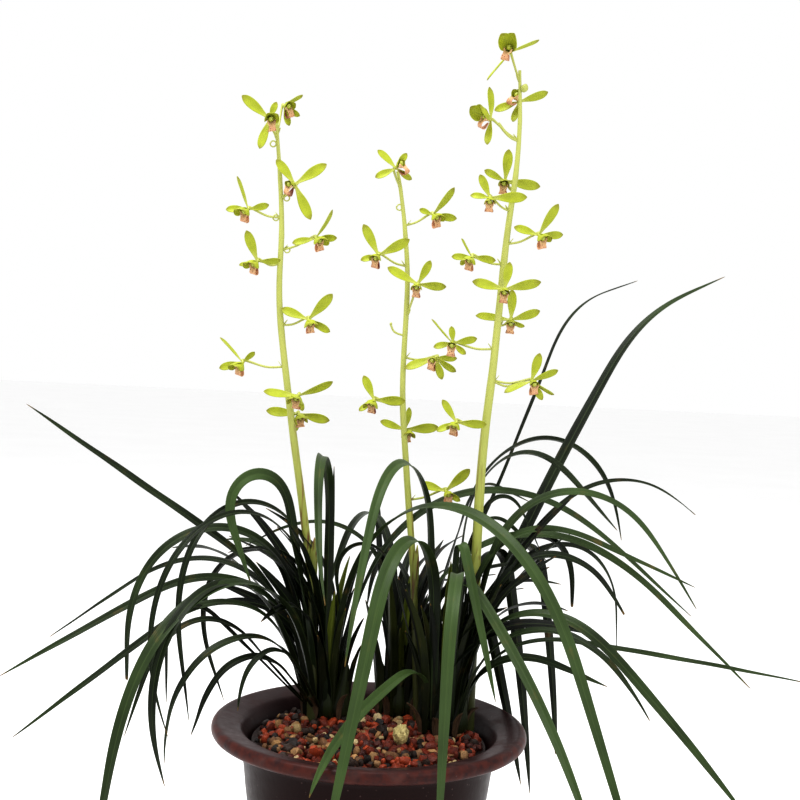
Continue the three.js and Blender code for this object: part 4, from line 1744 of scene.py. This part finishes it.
@dataclass
class FlowerModels:
    """The organs that every flower is put together from, each modelled once along +X with its top at +Z."""

    sepal_length: float = 24
    sepal_width: float = 7.5
    petal_length: float = 16.5
    petal_width: float = 11.5
    lip_length: float = 12
    lip_width: float = 7.6
    column_length: float = 8
    tepal_thickness: float = 0.5
    lip_thickness: float = 0.6

    def __post_init__(self) -> None:
        """Models the organs."""
        self.sepal = self._tepal("sepal_model", self.sepal_length, self.sepal_width, 0.62, 0.22)
        self.petal = self._tepal("petal_model", self.petal_length, self.petal_width, 0.5, 0.55)
        self.column = self._column()
        self.lip = self._lip()

    def _tepal(self, name: str, length: float, width: float, widest: float, cup: float) -> bpy.types.Object:
        """A spoon-shaped blade with its sides cupped towards +Z.

        Args:
            name: The model's name.
            length: Its length.
            width: Its width.
            widest: The share of the length at which it is widest.
            cup: How far its sides curl up.

        Returns:
            The model.
        """

        def place(share: float, side: float) -> Vector:
            """The point at a share of the length, on a side of the midrib.

            Args:
                share: The share of the length.
                side: The side, from -1 to 1.

            Returns:
                The point.
            """
            swell = smoothstep(share, 0.02, widest)
            fall = max(0.0, (share - widest) / (1 - widest))
            half = width / 2 * mix(0.26, 1, swell) * max(0.0, 1 - fall**2.3) ** 0.62
            half = max(half, 0.15)
            lift = cup * half * side * side - 0.3 * (1 - abs(side)) * (1 - share)
            lift += 0.16 * math.sin(share * 11 + side * 2) * abs(side)
            return Vector((length * share, half * side * (1 - 0.12 * cup * side * side), lift)) * MM

        piece = grid(name, 6, 14, place)
        thicken(piece, self.tepal_thickness * MM)
        set_tone(piece.data, 0.5)
        return piece

    def _column(self) -> bpy.types.Object:
        """The arched column with its swollen cap.

        Returns:
            The model.
        """
        length = self.column_length
        points, radii = [], []
        for step in range(11):
            share = step / 10
            points.append(Vector((length * share, 0, 2.0 * math.sin(share * 1.9) - 0.6 * share)) * MM)
            swell = 1.2 + 0.3 * share + 0.5 * math.exp(-(((share - 0.9) / 0.09) ** 2))
            radii.append((swell if step < 10 else 0.7) * MM)
        piece = tube("column_model", points, radii, sides=2)
        set_tone(piece.data, 0.2)
        return piece

    def _lip(self) -> bpy.types.Object:
        """The three-lobed lip: raised side lobes, two keels, and a tongue that curls back under.

        Returns:
            The model.
        """
        length, width = self.lip_length, self.lip_width

        def place(share: float, side: float) -> Vector:
            """The point at a share of the length, on a side of the middle.

            Args:
                share: The share of the length.
                side: The side, from -1 to 1.

            Returns:
                The point.
            """
            side_lobe = math.exp(-(((share - 0.34) / 0.15) ** 2))
            tongue = math.exp(-(((share - 0.72) / 0.17) ** 2))
            half = width / 2 * (0.22 + 0.78 * side_lobe + 0.55 * tongue) * max(0.0, 1 - share**6) ** 0.5
            half = max(half, 0.25)
            turn = 3.4 * smoothstep(share, 0.42, 1.0)
            reach = min(share, 0.55)
            beyond = max(0.0, share - 0.55) * length
            x = length * reach * 0.92 + beyond * math.cos(turn)
            z = -0.12 * length * reach - beyond * math.sin(turn) * 0.9 - 2.2 * smoothstep(share, 0.4, 0.8)
            lift = side_lobe * 0.9 * half * side * side
            keel = 0.5 * math.exp(-(((abs(side) - 0.25) / 0.12) ** 2)) * side_lobe
            frill = 0.5 * tongue * abs(side) ** 2 * math.sin(share * 34 + side * 5)
            pinch = 1 - 0.3 * side_lobe * abs(side)
            return Vector((x + frill, half * side * pinch, z + lift + keel)) * MM

        piece = grid("lip_model", 10, 20, place)
        thicken(piece, self.lip_thickness * MM)
        set_tone(piece.data, 0.6)
        return piece

    def clear(self) -> None:
        """Removes the models."""
        discard(self.sepal, self.petal, self.column, self.lip)


@dataclass
class Spike:
    """One flower spike: its stem, the bracts at its joints, and its flowers."""

    side: str
    plan: SpikePlan
    models: FlowerModels
    skins: dict[str, bpy.types.Material]
    steps: int = 10
    joint_swell: float = 0.16
    bract_size: tuple[float, float] = (6.5, 2.4)
    scale_heights: tuple[float, ...] = (215, 277)
    scale_length: float = 40
    curl_ring: float = 2.0
    curl_radius: float = 0.55
    stalk_radius: float = 0.85
    stalk_swell: float = 0.4

    def __post_init__(self) -> None:
        """Works the stem's route out."""
        self.route = smooth_route([Vector(point) for point in self.plan.route], self.steps)

    def stem_at(self, height: float) -> tuple[Vector, float]:
        """The stem's middle at a height, and its radius there, in millimetres.

        Args:
            height: The height.

        Returns:
            The point and the radius.
        """
        heights = [point.z for point in self.route]
        index = min(range(len(heights)), key=lambda i: abs(heights[i] - height))
        return self.route[index], self._radius(index)

    def _radius(self, index: int) -> float:
        """The stem's radius at one of its stops."""
        return mix(*self.plan.radii, index / (len(self.route) - 1))

    def build(self) -> None:
        """Makes the stem with its bracts and side growths, then each flower."""
        radii = []
        for index in range(len(self.route)):
            joint = self.joint_swell * math.exp(-(((index % 11) - 5) ** 2) / 1.5)
            radii.append((self._radius(index) + joint) * MM)
        parts = [tube(f"{self.side}_shaft", [point * MM for point in self.route], radii, sides=4)]
        parts += [self._bract(bloom) for bloom in self.plan.blooms]
        parts += [self._scale_leaf(index) for index in range(len(self.scale_heights))]
        parts += [self._curl(*curl) for curl in self.plan.curls]
        for height, out in self.plan.buds:
            parts += self._bud(height, out)
        spike = joined(f"{self.side}_spike", parts)
        dress(spike, "flower_stem", self.skins["stem"], nodes=[f"{self.side}_flower_spike"])
        for index, bloom in enumerate(self.plan.blooms):
            self._flower(index, bloom)

    def _blade(
        self, start: Vector, way: Vector, out: Vector, length: float, width: float
    ) -> bpy.types.Object:
        """A small clasping blade on the stem.

        Args:
            start: Where it leaves the stem, in millimetres.
            way: The way it points.
            out: The way away from the stem.
            length: Its length.
            width: Its width.

        Returns:
            The blade.
        """
        across = way.cross(out).normalized()

        def place(share: float, side: float) -> Vector:
            """The point at a share of the length, on a side of the middle.

            Args:
                share: The share of the length.
                side: The side, from -1 to 1.

            Returns:
                The point.
            """
            half = width / 2 * math.sin(math.pi * (0.22 + 0.76 * share)) ** 0.8
            hug = 0.5 * half * side * side * (1 - share)
            lean = out * (0.12 * length * share**2 - hug)
            return (start + way * (length * share) + lean + across * (half * side)) * MM

        piece = grid("stem_blade", 4, 8, place)
        thicken(piece, 0.35 * MM, smooth_levels=0)
        return piece

    def _bract(self, bloom: Bloom) -> bpy.types.Object:
        """The small pointed bract under a flower's stalk.

        Args:
            bloom: The flower.

        Returns:
            The bract.
        """
        point, radius = self.stem_at(bloom.at)
        out = Vector((bloom.reach[0], bloom.reach[1], 0)).normalized()
        start = point + out * (radius * 0.7) + Vector((0, 0, -1.5))
        return self._blade(start, Vector((out.x * 0.45, out.y * 0.45, 0.89)), out, *self.bract_size)

    def _scale_leaf(self, index: int) -> bpy.types.Object:
        """A long papery scale that hugs the stem low down.

        Args:
            index: Its number, from 0.

        Returns:
            The scale.
        """
        point, radius = self.stem_at(self.scale_heights[index])
        turn = 2.2 + 2.6 * index
        out = Vector((math.cos(turn), math.sin(turn), 0))
        start = point + out * (radius * 0.8)
        return self._blade(start, Vector((0, 0, 1)), out, self.scale_length, 2 * radius)

    def _curl(self, height: float, out: float) -> bpy.types.Object:
        """A dried stalk that has rolled itself into a small ring beside the stem.

        Args:
            height: The height at which it leaves the stem.
            out: How far it stands sideways.

        Returns:
            The stalk.
        """
        point, _ = self.stem_at(height)
        points = []
        for step in range(15):
            angle = 3.0 + step * 0.46 * (1 if out > 0 else -1)
            grow = self.curl_ring * (1 + 0.02 * step)
            offset = Vector((out + grow * math.cos(angle), 0.12 * step - 1, grow * math.sin(angle)))
            points.append((point + offset) * MM)
        return tube("curl", points, [self.curl_radius * MM] * len(points), sides=2)

    def _bud(self, height: float, out: float) -> list[bpy.types.Object]:
        """A small bud, on a short curved stalk where it stands clear of the stem.

        Args:
            height: The height at which it leaves the stem.
            out: How far it stands sideways.

        Returns:
            The bud, after its stalk where it has one.
        """
        point, _ = self.stem_at(height)
        tip = point + Vector((out, -2, abs(out) * 0.75))
        parts = []
        if abs(out) > 4:
            bend = point.lerp(tip, 0.7) + Vector((0, 0, -abs(out) * 0.3))
            route = smooth_route([point, bend, tip], 5)
            parts.append(tube("bud_stalk", [stop * MM for stop in route], [0.8 * MM] * len(route), sides=2))
        size = 1.1 if parts else 3.0
        stops = [tip + Vector((0.2 * step * size, 0, (step - 2) * size * 0.5)) for step in range(5)]
        girths = [size * 0.35, size * 0.85, size, size * 0.8, size * 0.3]
        parts.append(tube("bud", [stop * MM for stop in stops], [girth * MM for girth in girths], sides=3))
        return parts

    def _flower(self, index: int, bloom: Bloom) -> None:
        """Puts a flower together from copies of the organs, and makes its stalk.

        Args:
            index: The flower's number on the spike, from 0.
            bloom: How it stands.
        """
        name = f"{self.side}_flower_{index + 1}"
        chance = random.Random(name)
        point, radius = self.stem_at(bloom.at)
        middle = point + Vector(bloom.reach)
        face = Vector((bloom.lip[0], -11, bloom.lip[1])).normalized()
        side = face.cross(Vector((0, 0, 1))).normalized()
        top = side.cross(face)

        def organ(
            model: bpy.types.Object, way: Vector, up: Vector, sizes: Sequence[float], bend: float,
            start: float = 0.0,
        ) -> bpy.types.Object:
            """A copy of one organ.

            Args:
                model: The organ.
                way: The way it points.
                up: The way that its upper side faces, as near as it goes.
                sizes: Its scales along it, across it and through it.
                bend: How far its tip lifts.
                start: How far before the flower's middle it starts.

            Returns:
                The copy.
            """
            x = way.normalized()
            y = up.cross(x).normalized()
            turn = Matrix((x, y, x.cross(y))).transposed().to_4x4()
            pose = Matrix.Translation((middle + face * start) * MM) @ turn @ Matrix.Diagonal((*sizes, 1))
            return copied(model, "organ", pose, bend)

        models = self.models
        organs = []
        for x, z, turned in bloom.sepals:
            tip = Vector((x, chance.uniform(-3, 1), z))
            length = tip.length / models.sepal_length
            front = Matrix.Rotation(math.radians(turned), 3, tip.normalized()) @ Vector((0, -1, 0))
            sizes = (length, min(1.15, 0.25 + 0.8 * length), 1)
            organs.append(organ(models.sepal, tip, front, sizes, chance.uniform(-0.12, 0.16)))
        for hand in (-1, 1):
            way = face * 0.75 + top * 0.62 + side * (hand * 0.42)
            hollow = -top + face * 0.5 - side * (hand * 0.9)
            sizes = (bloom.hood * 0.92, bloom.hood * 0.98, bloom.hood)
            organs.append(organ(models.petal, way, hollow, sizes, 0.35 + chance.uniform(-0.05, 0.05)))
        organs.append(organ(models.column, face, top, (1, 1, 1), 0))
        for part in organs:
            part.data.materials.append(self.skins["petal"])
        organs += self._stalks(bloom, point, radius, middle, face)
        flower = joined(f"{name}_tepals", organs)
        dress(flower, "petal", nodes=[name])

        way = Vector((bloom.lip[0] * 1.3, -7, bloom.lip[1] - 3))
        tongue = organ(models.lip, way, top * 0.6 + face, (1.35, 1.3, 1.25), 0, 1.0)
        tongue.name = f"{name}_lip"
        set_tone(tongue.data, bloom.stain)
        dress(tongue, "lip", self.skins["lip"])

    def _stalks(
        self, bloom: Bloom, point: Vector, radius: float, middle: Vector, face: Vector
    ) -> list[bpy.types.Object]:
        """The flower's stalk from the stem, and a second one beside it where there are two.

        Args:
            bloom: The flower.
            point: The stem's middle at its height.
            radius: The stem's radius there.
            middle: The flower's middle.
            face: The way the flower looks.

        Returns:
            The stalks.
        """
        out = Vector((bloom.reach[0], bloom.reach[1], 0)).normalized()
        parts = []
        for index in range(bloom.stalks):
            drop = Vector((0, 0, -3.0 * index))
            foot = point + out * (radius * 0.6) + drop * 0.3
            back = middle - face * 3 - out * (4 * index) + drop * 0.6
            elbow = foot.lerp(back, 0.45) + Vector((0, 0, -2.5 + 0.1 * bloom.reach[2])) + drop * 0.4
            stops = [foot, elbow, back] if index else [foot, elbow, back, middle]
            route = smooth_route(stops, 5)
            last = len(route) - 1
            girths = []
            for stop in range(last + 1):
                swell = self.stalk_swell * smoothstep(stop / last, 0.4, 0.85)
                girths.append((self.stalk_radius + swell) * MM)
            stalk = tube("stalk", [stop * MM for stop in route], girths, sides=2)
            stalk.data.materials.append(self.skins["stem"])
            parts.append(stalk)
        return parts


# ---------------------------------------------------------------- studio


@dataclass(frozen=True)
class Lamp:
    """A square soft light: where it hangs, how wide it is, and its power in watts."""

    name: str
    place: Place
    width: float
    watts: float


@dataclass
class Studio:
    """Pale floor, soft light and the camera."""

    camera_place: Place = (0, -950, 460)
    pitch_down: float = 1.72
    turn_right: float = 0.71
    tilt: float = 2.68
    lens: float = 56.26
    lamps: tuple[Lamp, ...] = (
        Lamp("key_light", (-450, -350, 1900), 1100, 34),
        Lamp("fill_light", (900, -900, 900), 900, 5),
    )
    lamp_aim: float = 350
    floor_width: float = 30000
    floor_white: float = 0.97
    gamma: float = 0.78

    def build(self) -> None:
        """Sets the studio up."""
        self._camera()
        self._floor()
        for lamp in self.lamps:
            self._light(lamp)
        self._world()
        bpy.context.scene.view_settings.view_transform = "Standard"
        bpy.context.scene.view_settings.gamma = self.gamma

    def _camera(self) -> None:
        """Places the camera."""
        lens = bpy.data.cameras.new("camera")
        lens.lens = self.lens
        lens.sensor_width = 36
        camera = bpy.data.objects.new("camera", lens)
        look = Euler((math.radians(90 - self.pitch_down), 0, math.radians(-self.turn_right)))
        camera.matrix_world = (
            Matrix.Translation(Vector(self.camera_place) * MM)
            @ look.to_matrix().to_4x4()
            @ Matrix.Rotation(math.radians(self.tilt), 4, "Z")
        )
        bpy.context.scene.collection.objects.link(camera)
        bpy.context.scene.camera = camera

    def _floor(self) -> None:
        """A wide pale floor."""
        deselect()
        bpy.ops.mesh.primitive_plane_add(size=self.floor_width * MM, location=(0, 0, -0.5 * MM))
        floor = added("studio_floor")
        white = (self.floor_white, self.floor_white, self.floor_white)
        floor.data.materials.append(FloorFinish("pale_floor", white).material())

    def _light(self, lamp: Lamp) -> None:
        """Hangs a light that looks at the plant's middle.

        Args:
            lamp: The light.
        """
        light = bpy.data.lights.new(lamp.name, "AREA")
        light.size = lamp.width * MM
        light.energy = lamp.watts
        hung = bpy.data.objects.new(lamp.name, light)
        hung.location = Vector(lamp.place) * MM
        way = Vector((0, 0, self.lamp_aim * MM)) - hung.location
        hung.rotation_euler = way.to_track_quat("-Z", "Y").to_euler()
        bpy.context.scene.collection.objects.link(hung)

    def _world(self) -> None:
        """An even white surround."""
        world = bpy.data.worlds.new("studio_world")
        world.use_nodes = True
        world.node_tree.nodes["Background"].inputs["Color"].default_value = (1, 1, 1, 1)
        world.node_tree.nodes["Background"].inputs["Strength"].default_value = 1.0
        bpy.context.scene.world = world


# ---------------------------------------------------------------- assembly


def main() -> None:
    """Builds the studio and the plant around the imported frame."""
    logging.basicConfig(level=logging.INFO, format="%(message)s")
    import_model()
    Studio().build()
    pot = Pot()
    pot.build()
    Gravel(pot).build()
    Foliage().build()
    skins = {
        "stem": StemFinish(
            "stem_skin", srgb(178, 182, 102), srgb(150, 158, 72), srgb(112, 58, 40), srgb(40, 46, 20), 0.30
        ).material(),
        "petal": PetalFinish(
            "petal_skin", srgb(188, 192, 104), srgb(164, 172, 50), srgb(130, 124, 44), srgb(124, 142, 40)
        ).material(),
        "lip": LipFinish(
            "lip_skin", srgb(220, 192, 146), srgb(204, 154, 116), srgb(112, 42, 34)
        ).material(),
    }
    models = FlowerModels()
    for side, plan in SPIKES.items():
        Spike(side, plan, models, skins).build()
    models.clear()


if __name__ == "__main__":
    main()
